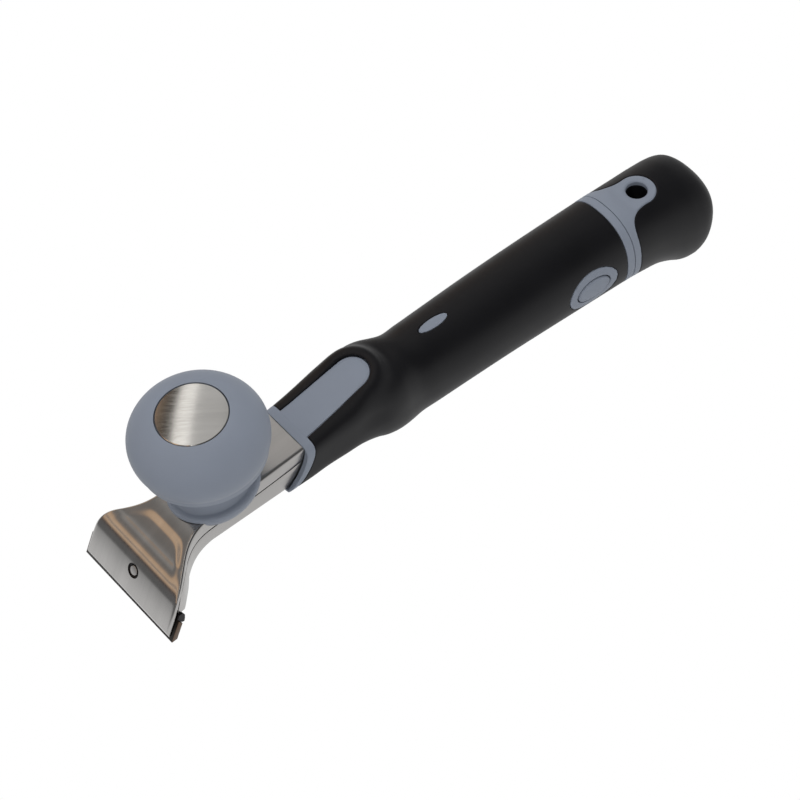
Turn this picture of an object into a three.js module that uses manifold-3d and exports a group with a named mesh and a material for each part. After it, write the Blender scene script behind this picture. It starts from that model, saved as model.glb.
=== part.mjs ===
// Two-handed paint scraper with a clamped carbide blade, a palm knob on a pressed
// steel stem, and a soft-skinned handle whose end cap carries a tray of spare blades.
// Millimetres. +X runs along the handle from the blade to the pommel, +Z up. The
// scraper stands on its cutting edge and its pommel. The origin lies on that plane,
// half way along the tool, on the middle plane of the handle.
import * as THREE from 'three';
import { mergeVertices } from 'three/addons/utils/BufferGeometryUtils.js';
import Module from 'manifold-3d';

const wasm = await Module();
wasm.setup();

// Overall
const toolLength = 259.2;
const headPitch = THREE.MathUtils.degToRad(6.3);
const steel = 1.6;
const seat = 0.3;
const threadGap = 0.1;
const overrun = 5;

// Blade and jaw, measured in the plane of the blade
const jawSlope = THREE.MathUtils.degToRad(59);
const bladeWidth = 50;
const bladeHeight = 9.5;
const bladeThickness = 2;
const bladeBevel = 1.2;
const jawWidth = 47.2;
const jawSetback = 0.9;
const jawLength = 20.4;
const jawBendRadius = 14;
const cheekDepth = 2.9;
const cheekSetback = 0.7;
const cheekBendPlaces = [12.4, 17];
const cheekBendHeights = [12.6, 14.4];
const saddleSlope = THREE.MathUtils.degToRad(15);
const saddleDipShare = 0.36;
const saddleCrestShare = 0.27;
const clampThickness = 2;
const clampWidth = 43.4;
const clampSetback = 3;
const clampHeelLength = 1.8;
const clampChamfer = 0.8;

// Clamp screw and its bush in the jaw
const clampScrewPlace = 12.5;
const clampScrewRadius = 2;
const clampHeadRadius = 3.6;
const clampHeadHeight = 2.4;
const clampSocketAcross = 3;
const clampSocketDepth = 1.3;
const bushRadius = 2.7;
const bushDepth = 3.3;
const bushSinkDepth = 0.7;
const screwPitch = 0.7;
const screwTurns = 3;

// Stem
const stemTop = 25.25;
const stemWidth = 20.8;
const stemSeamDrop = 5.45;
const stemStart = 32;
const stemFloorFront = 12.8;
const stemFloorBack = 10.4;
const stemTuck = 0.6;
const stemLowerTuck = 1.9;
const seamStep = 0.35;
const mouthPlace = 17;
const mouthFloor = 12.2;
const seamTop = 18.7;
const seamBendPlaces = [20, 14];
const seamBendHeights = [19.9, 18.9];
const flareStart = 3.5;
const flareShoulder = 11.5;
const flareWaist = 13;
const flareSteps = 12;
const tangEnd = 112;
const tangStep = 1.5;
const tangPinRadius = 2;
const tangPinShare = 0.675;
const tangPinInset = 8;
const tangPinSpacing = 15;

// Knob
const knobPlace = 42.5;
const knobFlangeRadius = 17.2;
const knobFlangeHeight = 1.8;
const knobNeckRadius = 12;
const knobNeckHeight = 12.2;
const knobSkirtRadius = 14.6;
const knobBulgeShare = 1.19;
const knobFullnessShares = [0.52, 0.84, 0.94];
const knobSteps = 8;
const knobRimRadius = 22.5;
const knobRimHeight = 20.6;
const knobLip = 1.4;
const knobHeight = 42;
const discRadius = 12.5;
const discThickness = 1.4;
const discCrown = 0.5;
const knobScrewRadius = 2.5;
const knobScrewLength = 40;
const knobHeadRadius = 4.6;
const knobHeadHeight = 2.6;
const insertRadius = 4.5;
const insertLength = 14;
const spacerRadius = 4.8;

// Handle and cap
const handleStart = 58;
const seamPlace = 215.7;
const handleAxis = 25;
const handleHeight = 32.8;
const handleWidth = 32;
const skinAtCollar = 0.9;
const skinAtGrip = 2.2;
const skinTaperStart = 72;
const skinTaperLength = 22;
const collarBand = 3.4;
const collarSweepHeight = 6.2;
const collarSweepInset = 1;
const collarRimTop = 73.8;
const collarRimLow = 63.4;
const padSink = 0.7;
const padStartHalfWidth = 8.1;
const padEndHalfWidth = 7;
const padEnd = 106.2;
const markerPlace = 135.9;
const markerLength = 12.4;
const markerWidth = 4;
const ringWidth = 3.2;
const capRingWidth = 2.7;

// Release buttons
const buttonPlace = 196.5;
const buttonLength = 15;
const buttonHeight = 9.4;
const buttonProud = 0.4;
const buttonTravel = 2.2;
const buttonFlange = 1.1;
const buttonFlangeThickness = 1;
const surroundLength = 22;
const surroundHeight = 16;

// Magazine
const cavityFront = 146;
const cavityWidth = 19;
const cavityHeight = 16;
const cavityCorner = 2;
const plugLength = 10.6;
const plugShoulder = 4.4;
const armThickness = 1.3;
const armHeight = 8;
const armFront = 190.4;
const armRootDepth = 2.6;
const trayFront = 148;
const trayClearance = 2.4;
const trayWall = 1.2;
const trayHeight = 7.2;
const trayTailLength = 6;
const trayTailWidth = 8;
const trayTailHeight = 3;
const spareCount = 2;

// Hanging hole
const holePlace = 230.2;
const holeRadius = 4.1;
const eyeletRadius = 7.1;
const eyeletTop = 39.7;
const eyeletNeckAngle = THREE.MathUtils.degToRad(80);
const eyeletRootHalfWidth = 15.2;
const lowerEyeletRadius = 6;

// Stations of the handle: place along it, top, underside, half-width, squareness.
// Heights are shares of the handle's height from its axis, half-widths of its width.
const gripStationShares = [
  [0, 0.232, 0.28, 0.385, 6],
  [0.05, 0.248, 0.277, 0.388, 6],
  [0.089, 0.273, 0.271, 0.391, 6],
  [0.127, 0.314, 0.257, 0.397, 5.5],
  [0.178, 0.383, 0.262, 0.413, 4.8],
  [0.228, 0.454, 0.277, 0.438, 4],
  [0.266, 0.5, 0.311, 0.466, 3.5],
  [0.292, 0.518, 0.36, 0.488, 3.2],
  [0.317, 0.524, 0.412, 0.492, 3],
  [0.342, 0.5, 0.462, 0.482, 2.8],
  [0.368, 0.462, 0.495, 0.458, 2.6],
  [0.393, 0.436, 0.491, 0.438, 2.4],
  [0.444, 0.436, 0.482, 0.444, 2.35],
  [0.495, 0.442, 0.463, 0.456, 2.3],
  [0.647, 0.466, 0.457, 0.478, 2.3],
  [0.837, 0.491, 0.479, 0.491, 2.3],
  [1, 0.497, 0.503, 0.5, 2.3],
];
const capStationShares = [
  [0, 0.497, 0.503, 0.5, 2.3],
  [0.15, 0.494, 0.53, 0.503, 2.3],
  [0.34, 0.485, 0.573, 0.513, 2.3],
  [0.48, 0.473, 0.655, 0.534, 2.3],
  [0.6, 0.457, 0.744, 0.553, 2.3],
  [0.72, 0.433, 0.762, 0.562, 2.3],
  [0.81, 0.395, 0.68, 0.553, 2.3],
  [0.885, 0.348, 0.515, 0.506, 2.3],
  [0.945, 0.272, 0.325, 0.406, 2.2],
  [0.985, 0.15, 0.15, 0.25, 2.1],
  [1, -0.02, 0.03, 0.06, 2],
];
const ringSides = 32;
const cornerSteps = 3;

// Colours
const steelFinish = { color: 0xa9a7a4, roughness: 0.35, metalness: 1 };
const blackSteel = { color: 0x26262a, roughness: 0.5, metalness: 0.9 };
const carbide = { color: 0x3b3733, roughness: 0.4, metalness: 0.9 };
const brass = { color: 0xb08d4a, roughness: 0.4, metalness: 1 };
const greyPlastic = { color: 0x7c8393, roughness: 0.55, metalness: 0 };
const softBlack = { color: 0x1c1c20, roughness: 0.75, metalness: 0 };
const innerBlack = { color: 0x2c2c30, roughness: 0.6, metalness: 0 };

// Worked out from the sizes above
const lipReach = 1.36;
const handleEnd = toolLength - lipReach;
const middle = (handleEnd - lipReach) / 2;
const jawFace = seat + steel;
const flangeLine = stemTop - stemSeamDrop;
const stemEnd = collarRimTop + stemTuck;
const stemLowerEnd = collarRimLow + stemLowerTuck;
const tangPinLength = handleWidth * tangPinShare;
const shaftBore = knobScrewRadius + seat;
const neckTop = stemTop - tangStep;
const neckFloor = stemFloorBack + tangStep;
const plugFront = seamPlace - plugLength;
const plugNeck = seamPlace - plugShoulder;
const cavityFloor = handleAxis - cavityHeight / 2;
const armOuter = cavityWidth / 2 - seat;
const armInner = armOuter - armThickness;
const flangeRest = cavityWidth / 2 - threadGap + buttonTravel;
const armCatch = flangeRest - seat - armOuter;
const capStart = seamPlace + seat;
const trayFloor = cavityFloor + trayClearance;
const trayTailFloor = trayFloor + trayWall;
const tangPinPlaces = [tangEnd - tangPinInset - tangPinSpacing, tangEnd - tangPinInset];
const tangPinHeight = (neckFloor + flangeLine) / 2;

// Solids
function toSolid(geometry) {
  const bare = geometry.clone();
  bare.deleteAttribute('normal');
  bare.deleteAttribute('uv');
  const merged = mergeVertices(bare, 1e-4);
  return new wasm.Manifold(new wasm.Mesh({
    numProp: 3,
    vertProperties: new Float32Array(merged.attributes.position.array),
    triVerts: new Uint32Array(merged.index.array),
  }));
}

function toGeometry(solid) {
  const { vertProperties, triVerts } = solid.getMesh();
  const geometry = new THREE.BufferGeometry();
  geometry.setAttribute('position', new THREE.BufferAttribute(vertProperties, 3));
  geometry.setIndex(new THREE.BufferAttribute(triVerts, 1));
  geometry.computeVertexNormals();
  return geometry;
}

function part(name, solid, finish) {
  const mesh = new THREE.Mesh(toGeometry(solid), new THREE.MeshStandardMaterial(finish));
  mesh.name = name;
  return mesh;
}

const unite = (...solids) => solids.reduce((whole, solid) => whole.add(solid));
const cutAway = (solid, ...tools) => tools.reduce((rest, tool) => rest.subtract(tool), solid);

// An outline in X and Z, extruded across Y about the middle plane
function across(shape, width, curveSegments = 8, centre = 0) {
  const options = { depth: width, bevelEnabled: false, curveSegments };
  const geometry = new THREE.ExtrudeGeometry(shape, options);
  geometry.rotateX(Math.PI / 2);
  geometry.translate(0, centre + width / 2, 0);
  return toSolid(geometry);
}

// An outline in X and Y, extruded up from one height to another
function upright(shape, from, to, curveSegments = 8, shift = 0) {
  const options = { depth: to - from, bevelEnabled: false, curveSegments };
  const geometry = new THREE.ExtrudeGeometry(shape, options);
  geometry.translate(shift, 0, from);
  return toSolid(geometry);
}

function rod(radius, from, to, x = 0, y = 0, sides = 24) {
  const geometry = new THREE.CylinderGeometry(radius, radius, to - from, sides);
  geometry.rotateX(Math.PI / 2);
  geometry.translate(x, y, (from + to) / 2);
  return toSolid(geometry);
}

function crossRod(radius, length, x, z, sides = 16) {
  const geometry = new THREE.CylinderGeometry(radius, radius, length, sides);
  geometry.translate(x, 0, z);
  return toSolid(geometry);
}

function block(x0, x1, y0, y1, z0, z1) {
  const geometry = new THREE.BoxGeometry(x1 - x0, Math.abs(y1 - y0), z1 - z0);
  geometry.translate((x0 + x1) / 2, (y0 + y1) / 2, (z0 + z1) / 2);
  return toSolid(geometry);
}

// A revolved profile of [radius, height] points, starting and ending on the axis
function turned(points, sides = 48) {
  const profile = points.map(([radius, height]) => new THREE.Vector2(radius, height));
  const geometry = new THREE.LatheGeometry(profile, sides);
  geometry.rotateX(Math.PI / 2);
  return toSolid(geometry);
}

function ellipse(x, y, length, width) {
  const shape = new THREE.Shape();
  shape.absellipse(x, y, length / 2, width / 2, 0, 2 * Math.PI);
  return shape;
}

function turnBy(solid, angle) {
  return toSolid(toGeometry(solid).rotateY(angle));
}

// The head's own frame is pitched about the cutting edge
const fromHead = (solid) => turnBy(solid, -headPitch);

// Smooth value of one column of a station table
function along(table, share, column) {
  const last = table.length - 1;
  let index = table.findIndex((row) => row[0] > share) - 1;
  if (index < 0) index = share <= table[0][0] ? 0 : last - 1;
  const slope = (at) => {
    const before = table[Math.max(at - 1, 0)];
    const after = table[Math.min(at + 1, last)];
    return (after[column] - before[column]) / (after[0] - before[0]);
  };
  const [here, next] = [table[index], table[index + 1]];
  const span = next[0] - here[0];
  const t = (share - here[0]) / span;
  const bend = t * t * (3 - 2 * t);
  return here[column] * (1 - bend) + next[column] * bend
    + span * t * (1 - t) * (slope(index) * (1 - t) - slope(index + 1) * t);
}

// Rounded section of the handle or cap at one place, drawn in by an inset
function section(table, x, from, to, inset) {
  const share = (x - from) / (to - from);
  const top = handleAxis + handleHeight * along(table, share, 1) - inset;
  const floor = handleAxis - handleHeight * along(table, share, 2) + inset;
  const half = handleWidth * along(table, share, 3) - inset;
  const power = 2 / along(table, share, 4);
  const ring = [];
  for (let side = 0; side < ringSides; side += 1) {
    const angle = (2 * Math.PI * (side + 1 / 2)) / ringSides;
    const [c, s] = [Math.cos(angle), Math.sin(angle)];
    const y = half * Math.sign(c) * Math.abs(c) ** power;
    const z = (top + floor) / 2 + ((top - floor) / 2) * Math.sign(s) * Math.abs(s) ** power;
    ring.push([x, y, z]);
  }
  return ring;
}

function loft(rings) {
  const positions = rings.flat(2);
  const index = [];
  const at = (ring, side) => ring * ringSides + (side % ringSides);
  for (let ring = 0; ring < rings.length - 1; ring += 1) {
    for (let side = 0; side < ringSides; side += 1) {
      index.push(at(ring, side), at(ring, side + 1), at(ring + 1, side + 1));
      index.push(at(ring, side), at(ring + 1, side + 1), at(ring + 1, side));
    }
  }
  for (let side = 1; side < ringSides - 1; side += 1) {
    index.push(at(0, 0), at(0, side + 1), at(0, side));
    index.push(at(rings.length - 1, 0), at(rings.length - 1, side), at(rings.length - 1, side + 1));
  }
  const geometry = new THREE.BufferGeometry();
  geometry.setAttribute('position', new THREE.Float32BufferAttribute(positions, 3));
  geometry.setIndex(index);
  return toSolid(geometry);
}

function handleBody(insetAt) {
  const rings = gripStationShares.map(([share]) => {
    const x = handleStart + share * (seamPlace - handleStart);
    return section(gripStationShares, x, handleStart, seamPlace, insetAt(x));
  });
  return loft(rings);
}

function capBody(inset) {
  const rings = capStationShares.map(([share]) => {
    const x = THREE.MathUtils.lerp(capStart, handleEnd - inset, share);
    return section(capStationShares, x, capStart, handleEnd, inset);
  });
  return loft(rings);
}

// Side outline of the head's outer face, or of a face sunk below it
const jawPoint = (up, out) => new THREE.Vector2(
  up * Math.cos(jawSlope) - out * Math.sin(jawSlope),
  up * Math.sin(jawSlope) + out * Math.cos(jawSlope),
);

function bendCorner(sunk) {
  const outer = jawPoint(jawLength, jawFace);
  const out = jawFace - sunk;
  const rise = Math.tan(saddleSlope);
  const height = outer.y - sunk / Math.cos(saddleSlope);
  const up = (height - out * Math.cos(jawSlope) - rise * (out * Math.sin(jawSlope) + outer.x))
    / (Math.sin(jawSlope) - rise * Math.cos(jawSlope));
  return { up, out, point: jawPoint(up, out) };
}

function drawHeadFace(shape, sunk, end) {
  const { up, out, point } = bendCorner(sunk);
  const tangent = (jawBendRadius - sunk) * Math.tan((jawSlope - saddleSlope) / 2);
  const bendStart = jawPoint(up - tangent, out);
  const run = stemStart - point.x;
  shape.lineTo(bendStart.x, bendStart.y);
  shape.quadraticCurveTo(
    point.x, point.y,
    point.x + tangent * Math.cos(saddleSlope), point.y + tangent * Math.sin(saddleSlope),
  );
  shape.bezierCurveTo(
    point.x + run * saddleDipShare, point.y + run * saddleDipShare * Math.tan(saddleSlope),
    stemStart - run * saddleCrestShare, stemTop - sunk,
    stemStart, stemTop - sunk,
  );
  shape.lineTo(stemEnd, stemTop - sunk);
  shape.lineTo(stemEnd + tangStep, neckTop - sunk);
  shape.lineTo(end, neckTop - sunk);
}

// Side view of the seam between the two shells, from the stem to the bend of the jaw
const seamCurve = new THREE.CubicBezierCurve(
  new THREE.Vector2(stemStart, flangeLine),
  new THREE.Vector2(seamBendPlaces[0], seamBendHeights[0]),
  new THREE.Vector2(seamBendPlaces[1], seamBendHeights[1]),
  jawPoint(seamTop, seat),
);

// Plan of the head: full jaw width, flaring in to the stem and stepping in to the tang
function planOutline(inset, end = tangEnd) {
  const half = jawWidth / 2;
  const narrow = stemWidth / 2;
  const flare = new THREE.CubicBezierCurve(
    new THREE.Vector2(flareStart, half),
    new THREE.Vector2(flareStart + flareShoulder, half),
    new THREE.Vector2(flareStart + flareWaist, narrow),
    new THREE.Vector2(stemStart, narrow),
  );
  const side = [new THREE.Vector2(-overrun, half - inset)];
  for (let step = 0; step <= flareSteps; step += 1) {
    const point = flare.getPoint(step / flareSteps);
    const tangent = flare.getTangent(step / flareSteps);
    side.push(new THREE.Vector2(point.x + tangent.y * inset, point.y - tangent.x * inset));
  }
  side.push(new THREE.Vector2(stemEnd, narrow - inset));
  side.push(new THREE.Vector2(stemEnd + tangStep, narrow - tangStep - inset));
  side.push(new THREE.Vector2(end, narrow - tangStep - inset));
  const mirrored = side.map((point) => new THREE.Vector2(point.x, -point.y));
  return new THREE.Shape([...mirrored, ...side.reverse()]);
}

const planBlock = (inset, end) => upright(planOutline(inset, end), -overrun, stemTop + overrun);

function outline(points) {
  return new THREE.Shape(points.map(([x, y]) => new THREE.Vector2(x, y)));
}

// Upper shell: one pressing with the jaw, the saddle, the top of the stem and the tang
function upperShell() {
  const outer = new THREE.Shape();
  const lip = jawPoint(jawSetback, jawFace);
  outer.moveTo(lip.x, lip.y);
  drawHeadFace(outer, 0, tangEnd);
  outer.lineTo(tangEnd, flangeLine);
  seamCurve.getPoints(flareSteps).forEach((point) => outer.lineTo(point.x, point.y));
  const lipFoot = jawPoint(jawSetback, seat);
  outer.lineTo(lipFoot.x, lipFoot.y);

  const inner = new THREE.Shape();
  const frontFoot = jawPoint(jawSetback - overrun, seat);
  inner.moveTo(frontFoot.x, frontFoot.y);
  drawHeadFace(inner, steel, tangEnd + overrun);
  inner.lineTo(tangEnd + overrun, -overrun);
  inner.lineTo(frontFoot.x, -overrun);

  const hollow = across(inner, jawWidth).intersect(planBlock(steel, tangEnd + overrun));
  const bushHole = turnBy(rod(bushRadius + threadGap, -overrun, overrun, clampScrewPlace), -jawSlope);
  const screwHole = rod(shaftBore, flangeLine, stemTop + overrun, knobPlace);
  return cutAway(across(outer, jawWidth).intersect(planBlock(0)), hollow, bushHole, screwHole);
}

const floorAt = (x) => THREE.MathUtils.mapLinear(
  x, stemStart, stemLowerEnd, stemFloorFront, stemFloorBack,
);

// Lower shell: the channel that closes the stem from below, with cheeks that run on under the jaw
function lowerShell() {
  const floor = [
    [mouthPlace, mouthFloor],
    [stemStart, stemFloorFront],
    [stemLowerEnd, stemFloorBack],
    [stemLowerEnd + tangStep, neckFloor],
  ];
  const cheekPlace = bladeHeight + cheekSetback;
  const cheekTop = jawPoint(cheekPlace, 0);
  const cheekTip = jawPoint(cheekPlace, -cheekDepth);
  const seamShift = seat * Math.sin(jawSlope);
  const outer = outline([
    ...floor,
    [tangEnd, neckFloor],
    [tangEnd, flangeLine - seat],
    ...seamCurve.getPoints(flareSteps).map((point) => [point.x + seamShift, point.y - seat]),
    [cheekTop.x, cheekTop.y],
    [cheekTip.x, cheekTip.y],
    ...cheekBendPlaces.map((place, index) => [place, cheekBendHeights[index]]),
  ]);
  const inner = outline([
    [0, 0],
    ...floor.map(([x, z]) => [x, z + steel]),
    [tangEnd + overrun, neckFloor + steel],
    [tangEnd + overrun, stemTop],
    [0, stemTop],
  ]);
  const hollow = across(inner, jawWidth).intersect(planBlock(seamStep + steel, tangEnd + overrun));
  const screwHole = rod(shaftBore, 0, flangeLine, knobPlace);
  const pinHoles = tangPinPlaces.map((x) => crossRod(tangPinRadius + seat, jawWidth, x, tangPinHeight));
  const solid = across(outer, jawWidth).intersect(planBlock(seamStep));
  return cutAway(solid, hollow, screwHole, ...pinHoles);
}

// Blade: ground on both long edges, so that it can be turned round
function blade() {
  return across(outline([
    [0, 0],
    [bladeHeight, 0],
    [bladeHeight - bladeBevel, -bladeThickness],
    [bladeBevel, -bladeThickness],
  ]), bladeWidth);
}

function clampPlate() {
  const top = -bladeThickness - seat;
  const floor = top - clampThickness;
  const heel = clampScrewPlace + bushRadius + seat;
  const end = heel + clampHeelLength;
  const plate = across(outline([
    [clampSetback, top],
    [clampSetback, floor + clampChamfer],
    [clampSetback + clampChamfer, floor],
    [end, floor],
    [end, 0],
    [heel, 0],
    [heel, top],
  ]), clampWidth);
  const room = upright(
    planOutline(steel + seamStep + seat), -overrun, stemTop + overrun, 8,
    -screwPitch * screwTurns * Math.sin(jawSlope),
  );
  const hole = rod(clampScrewRadius + seat, floor - overrun, overrun, clampScrewPlace);
  return cutAway(plate.intersect(turnBy(room, jawSlope)), hole);
}

// A six-sided key socket in a screw head that faces down
const hexSocket = (floor, x) => rod(
  clampSocketAcross / Math.sqrt(3), floor - overrun, floor + clampSocketDepth, x, 0, 6,
);

function clampScrew() {
  const headTop = -bladeThickness - clampThickness - 2 * seat;
  const headFloor = headTop - clampHeadHeight;
  const shankFoot = headTop - clampHeadHeight / 2;
  const shank = rod(clampScrewRadius, shankFoot, jawFace - bushSinkDepth / 2, clampScrewPlace);
  const head = rod(clampHeadRadius, headFloor, headTop, clampScrewPlace, 0, 32);
  const socket = hexSocket(headFloor, clampScrewPlace);
  return cutAway(unite(shank, head), socket);
}

function threadBush() {
  const sink = new THREE.CylinderGeometry(
    bushRadius - threadGap, clampScrewRadius + threadGap, bushSinkDepth, 24,
  );
  sink.rotateX(Math.PI / 2);
  sink.translate(clampScrewPlace, 0, jawFace - bushSinkDepth / 2 + threadGap);
  return cutAway(
    rod(bushRadius, jawFace - bushDepth, jawFace, clampScrewPlace),
    rod(clampScrewRadius + threadGap, -overrun, overrun, clampScrewPlace),
    toSolid(sink),
  );
}

// Knob, all parts turned about its own axis, which stands square on the stem
function knobProfile(curves) {
  const points = [];
  curves.forEach((curve) => {
    const stretch = curve instanceof THREE.Vector2 ? [curve] : curve.getPoints(knobSteps);
    points.push(...stretch);
  });
  return points.map((point) => [point.x, point.y]);
}

const knobCurve = (...points) => (points.length === 4
  ? new THREE.CubicBezierCurve(...points.map(([r, z]) => new THREE.Vector2(r, z)))
  : new THREE.QuadraticBezierCurve(...points.map(([r, z]) => new THREE.Vector2(r, z))));

function placeOnStem(solid) {
  return toSolid(toGeometry(solid).translate(knobPlace, 0, 0));
}

function knobBase() {
  const flange = stemTop + knobFlangeHeight;
  const neck = stemTop + knobNeckHeight;
  const profile = knobProfile([
    new THREE.Vector2(0, flangeLine),
    knobCurve(
      [knobSkirtRadius, flangeLine],
      [knobFlangeRadius, stemTop - knobFlangeHeight],
      [knobFlangeRadius, stemTop],
    ),
    knobCurve(
      [knobFlangeRadius, flange - seat],
      [knobFlangeRadius - seat, flange],
      [knobFlangeRadius - 2 * seat, flange],
    ),
    knobCurve(
      [knobFlangeRadius - knobFlangeHeight, flange + seat],
      [knobNeckRadius, flange + seat],
      [knobNeckRadius, neck],
    ),
    new THREE.Vector2(0, neck),
  ]);
  const channel = upright(planOutline(-seat), -overrun, stemTop + seat);
  const bore = rod(shaftBore, 0, neck + overrun, knobPlace);
  return cutAway(placeOnStem(turned(profile)), channel, bore);
}

function knobGrip() {
  const underside = stemTop + knobNeckHeight + seat;
  const rim = stemTop + knobRimHeight;
  const top = stemTop + knobHeight;
  const recess = discRadius + seat;
  const profile = knobProfile([
    new THREE.Vector2(0, underside),
    knobCurve(
      [knobNeckRadius, underside],
      [knobRimRadius - 2 * knobLip, underside + knobLip],
      [knobRimRadius - knobLip / 2, rim - knobLip],
    ),
    new THREE.Vector2(knobRimRadius, rim - knobLip / 2),
    knobCurve(
      [knobRimRadius, rim],
      [knobRimRadius * knobBulgeShare, THREE.MathUtils.lerp(rim, top, knobFullnessShares[0])],
      [THREE.MathUtils.lerp(recess, knobRimRadius, knobFullnessShares[1]),
        THREE.MathUtils.lerp(rim, top, knobFullnessShares[2])],
      [recess, top],
    ),
    new THREE.Vector2(recess, top - discThickness - seat),
    new THREE.Vector2(0, top - discThickness - seat),
  ]);
  const socketTop = underside + insertLength + 2 * seat;
  return cutAway(
    placeOnStem(turned(profile)),
    rod(insertRadius + seat, stemTop, socketTop, knobPlace),
  );
}

function knobDisc() {
  const top = stemTop + knobHeight;
  const profile = knobProfile([
    new THREE.Vector2(0, top - discThickness),
    new THREE.Vector2(discRadius, top - discThickness),
    knobCurve([discRadius, top], [discRadius / 2, top + discCrown], [0, top + discCrown]),
  ]);
  return placeOnStem(turned(profile));
}

function knobInsert() {
  const foot = stemTop + knobNeckHeight + 2 * seat;
  return cutAway(
    rod(insertRadius, foot, foot + insertLength, knobPlace, 0, 20),
    rod(knobScrewRadius + threadGap, stemTop, foot + insertLength + overrun, knobPlace),
  );
}

function knobScrew() {
  const headTop = floorAt(knobPlace + knobHeadRadius) - seat;
  const headFloor = headTop - knobHeadHeight;
  const socket = hexSocket(headFloor, knobPlace);
  return cutAway(unite(
    rod(knobHeadRadius, headFloor, headTop, knobPlace, 0, 32),
    rod(knobScrewRadius, headTop - knobHeadHeight / 2, headTop + knobScrewLength, knobPlace),
  ), socket);
}

function spacerTube() {
  const foot = floorAt(knobPlace - spacerRadius) + steel + seat;
  return cutAway(
    rod(spacerRadius, foot, stemTop - steel - seat, knobPlace, 0, 20),
    rod(shaftBore, foot - overrun, stemTop, knobPlace),
  );
}

// Everything ahead of the collar's rim, which sweeps forward under the stem
function aheadOfRim(shift) {
  const shape = new THREE.Shape();
  shape.moveTo(0, -overrun);
  shape.lineTo(collarRimLow + shift, -overrun);
  shape.lineTo(collarRimLow + shift, stemFloorBack);
  shape.quadraticCurveTo(
    collarRimTop + shift - collarSweepInset, stemFloorBack + collarSweepHeight,
    collarRimTop + shift, stemTop,
  );
  shape.lineTo(collarRimTop + shift, 2 * stemTop);
  shape.lineTo(0, 2 * stemTop);
  return fromHead(across(shape, 2 * handleWidth));
}

function tangPocket() {
  const side = outline([
    [stemStart, stemFloorFront - seat],
    [stemLowerEnd, stemFloorBack - seat],
    [stemLowerEnd + tangStep, neckFloor - seat],
    [tangEnd + seat, neckFloor - seat],
    [tangEnd + seat, neckTop + seat],
    [stemEnd + tangStep, neckTop + seat],
    [stemEnd, stemTop + seat],
    [stemStart, stemTop + seat],
  ]);
  const pins = tangPinPlaces.map((x) => (
    crossRod(tangPinRadius + seat, tangPinLength + 2 * seat, x, tangPinHeight)));
  const tang = across(side, jawWidth).intersect(planBlock(-seat, tangEnd + seat));
  return fromHead(unite(tang, ...pins));
}

// Windows where the grey core shows through the soft skin, grown by a gap
function padColumn(grow) {
  const centre = padEnd - padEndHalfWidth;
  const shape = new THREE.Shape();
  shape.moveTo(handleStart, -padStartHalfWidth - grow);
  shape.lineTo(centre, -padEndHalfWidth - grow);
  shape.absarc(centre, 0, padEndHalfWidth + grow, -Math.PI / 2, Math.PI / 2);
  shape.lineTo(handleStart, padStartHalfWidth + grow);
  return upright(shape, handleAxis, handleAxis + handleHeight);
}

const markerColumn = (grow) => upright(
  ellipse(markerPlace, 0, markerLength + 2 * grow, markerWidth + 2 * grow),
  handleAxis, handleAxis + handleHeight,
);

const sideColumn = (length, height, from, to, side) => across(
  ellipse(buttonPlace, handleAxis, length, height), to - from, 10, (side * (from + to)) / 2,
);

const surroundColumn = (grow, side) => sideColumn(
  surroundLength + 2 * grow, surroundHeight + 2 * grow, cavityWidth / 2, handleWidth, side,
);

const ringSlab = (from, to) => block(
  from, to, -handleWidth, handleWidth, -handleWidth, 2 * handleWidth,
);

const skinAt = (x) => THREE.MathUtils.lerp(
  skinAtCollar, skinAtGrip,
  THREE.MathUtils.smoothstep(x, skinTaperStart, skinTaperStart + skinTaperLength),
);

function roundedSection(width, height, corner) {
  const [y, z, r] = [width / 2, height / 2, corner];
  const shape = new THREE.Shape();
  shape.absarc(y - r, handleAxis - z + r, r, -Math.PI / 2, 0);
  shape.absarc(y - r, handleAxis + z - r, r, 0, Math.PI / 2);
  shape.absarc(-y + r, handleAxis + z - r, r, Math.PI / 2, Math.PI);
  shape.absarc(-y + r, handleAxis - z + r, r, Math.PI, 1.5 * Math.PI);
  return shape;
}

function lengthwise(shape, from, to) {
  const options = { depth: to - from, bevelEnabled: false, curveSegments: cornerSteps };
  const geometry = new THREE.ExtrudeGeometry(shape, options);
  const turn = new THREE.Matrix4().makeBasis(
    new THREE.Vector3(0, 1, 0), new THREE.Vector3(0, 0, 1), new THREE.Vector3(1, 0, 0),
  );
  geometry.applyMatrix4(turn);
  geometry.translate(from, 0, 0);
  return toSolid(geometry);
}

const sides = [-1, 1];

// Core of the handle: collar, thumb pad, marker, button surrounds and end ring in grey
function handleCore() {
  const body = handleBody(() => 0);
  const sunkBody = handleBody(() => padSink);
  const windows = unite(
    aheadOfRim(collarBand),
    markerColumn(0),
    ringSlab(seamPlace - ringWidth, seamPlace + overrun),
    ...sides.map((side) => surroundColumn(0, side)),
  );
  const solid = unite(
    handleBody(skinAt),
    body.intersect(windows),
    sunkBody.intersect(padColumn(0)),
  );
  const cavity = lengthwise(
    roundedSection(cavityWidth, cavityHeight, cavityCorner), cavityFront, seamPlace + overrun,
  );
  const openings = sides.flatMap((side) => [
    sideColumn(buttonLength + 2 * seat, buttonHeight + 2 * seat, armInner, handleWidth, side),
    sideColumn(
      buttonLength + 2 * (buttonFlange + seat), buttonHeight + 2 * (buttonFlange + seat),
      armInner, flangeRest + buttonFlangeThickness + seat, side,
    ),
  ]);
  return cutAway(solid, aheadOfRim(0), tangPocket(), cavity, ...openings);
}

// Soft skin of the handle, cut away round each grey window
function handleGrip() {
  return cutAway(
    handleBody(() => 0),
    handleBody((x) => skinAt(x) - seat),
    aheadOfRim(collarBand + seat),
    padColumn(seat),
    markerColumn(seat),
    ringSlab(seamPlace - ringWidth - seat, seamPlace + overrun),
    ...sides.map((side) => surroundColumn(seat, side)),
  );
}

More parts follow.
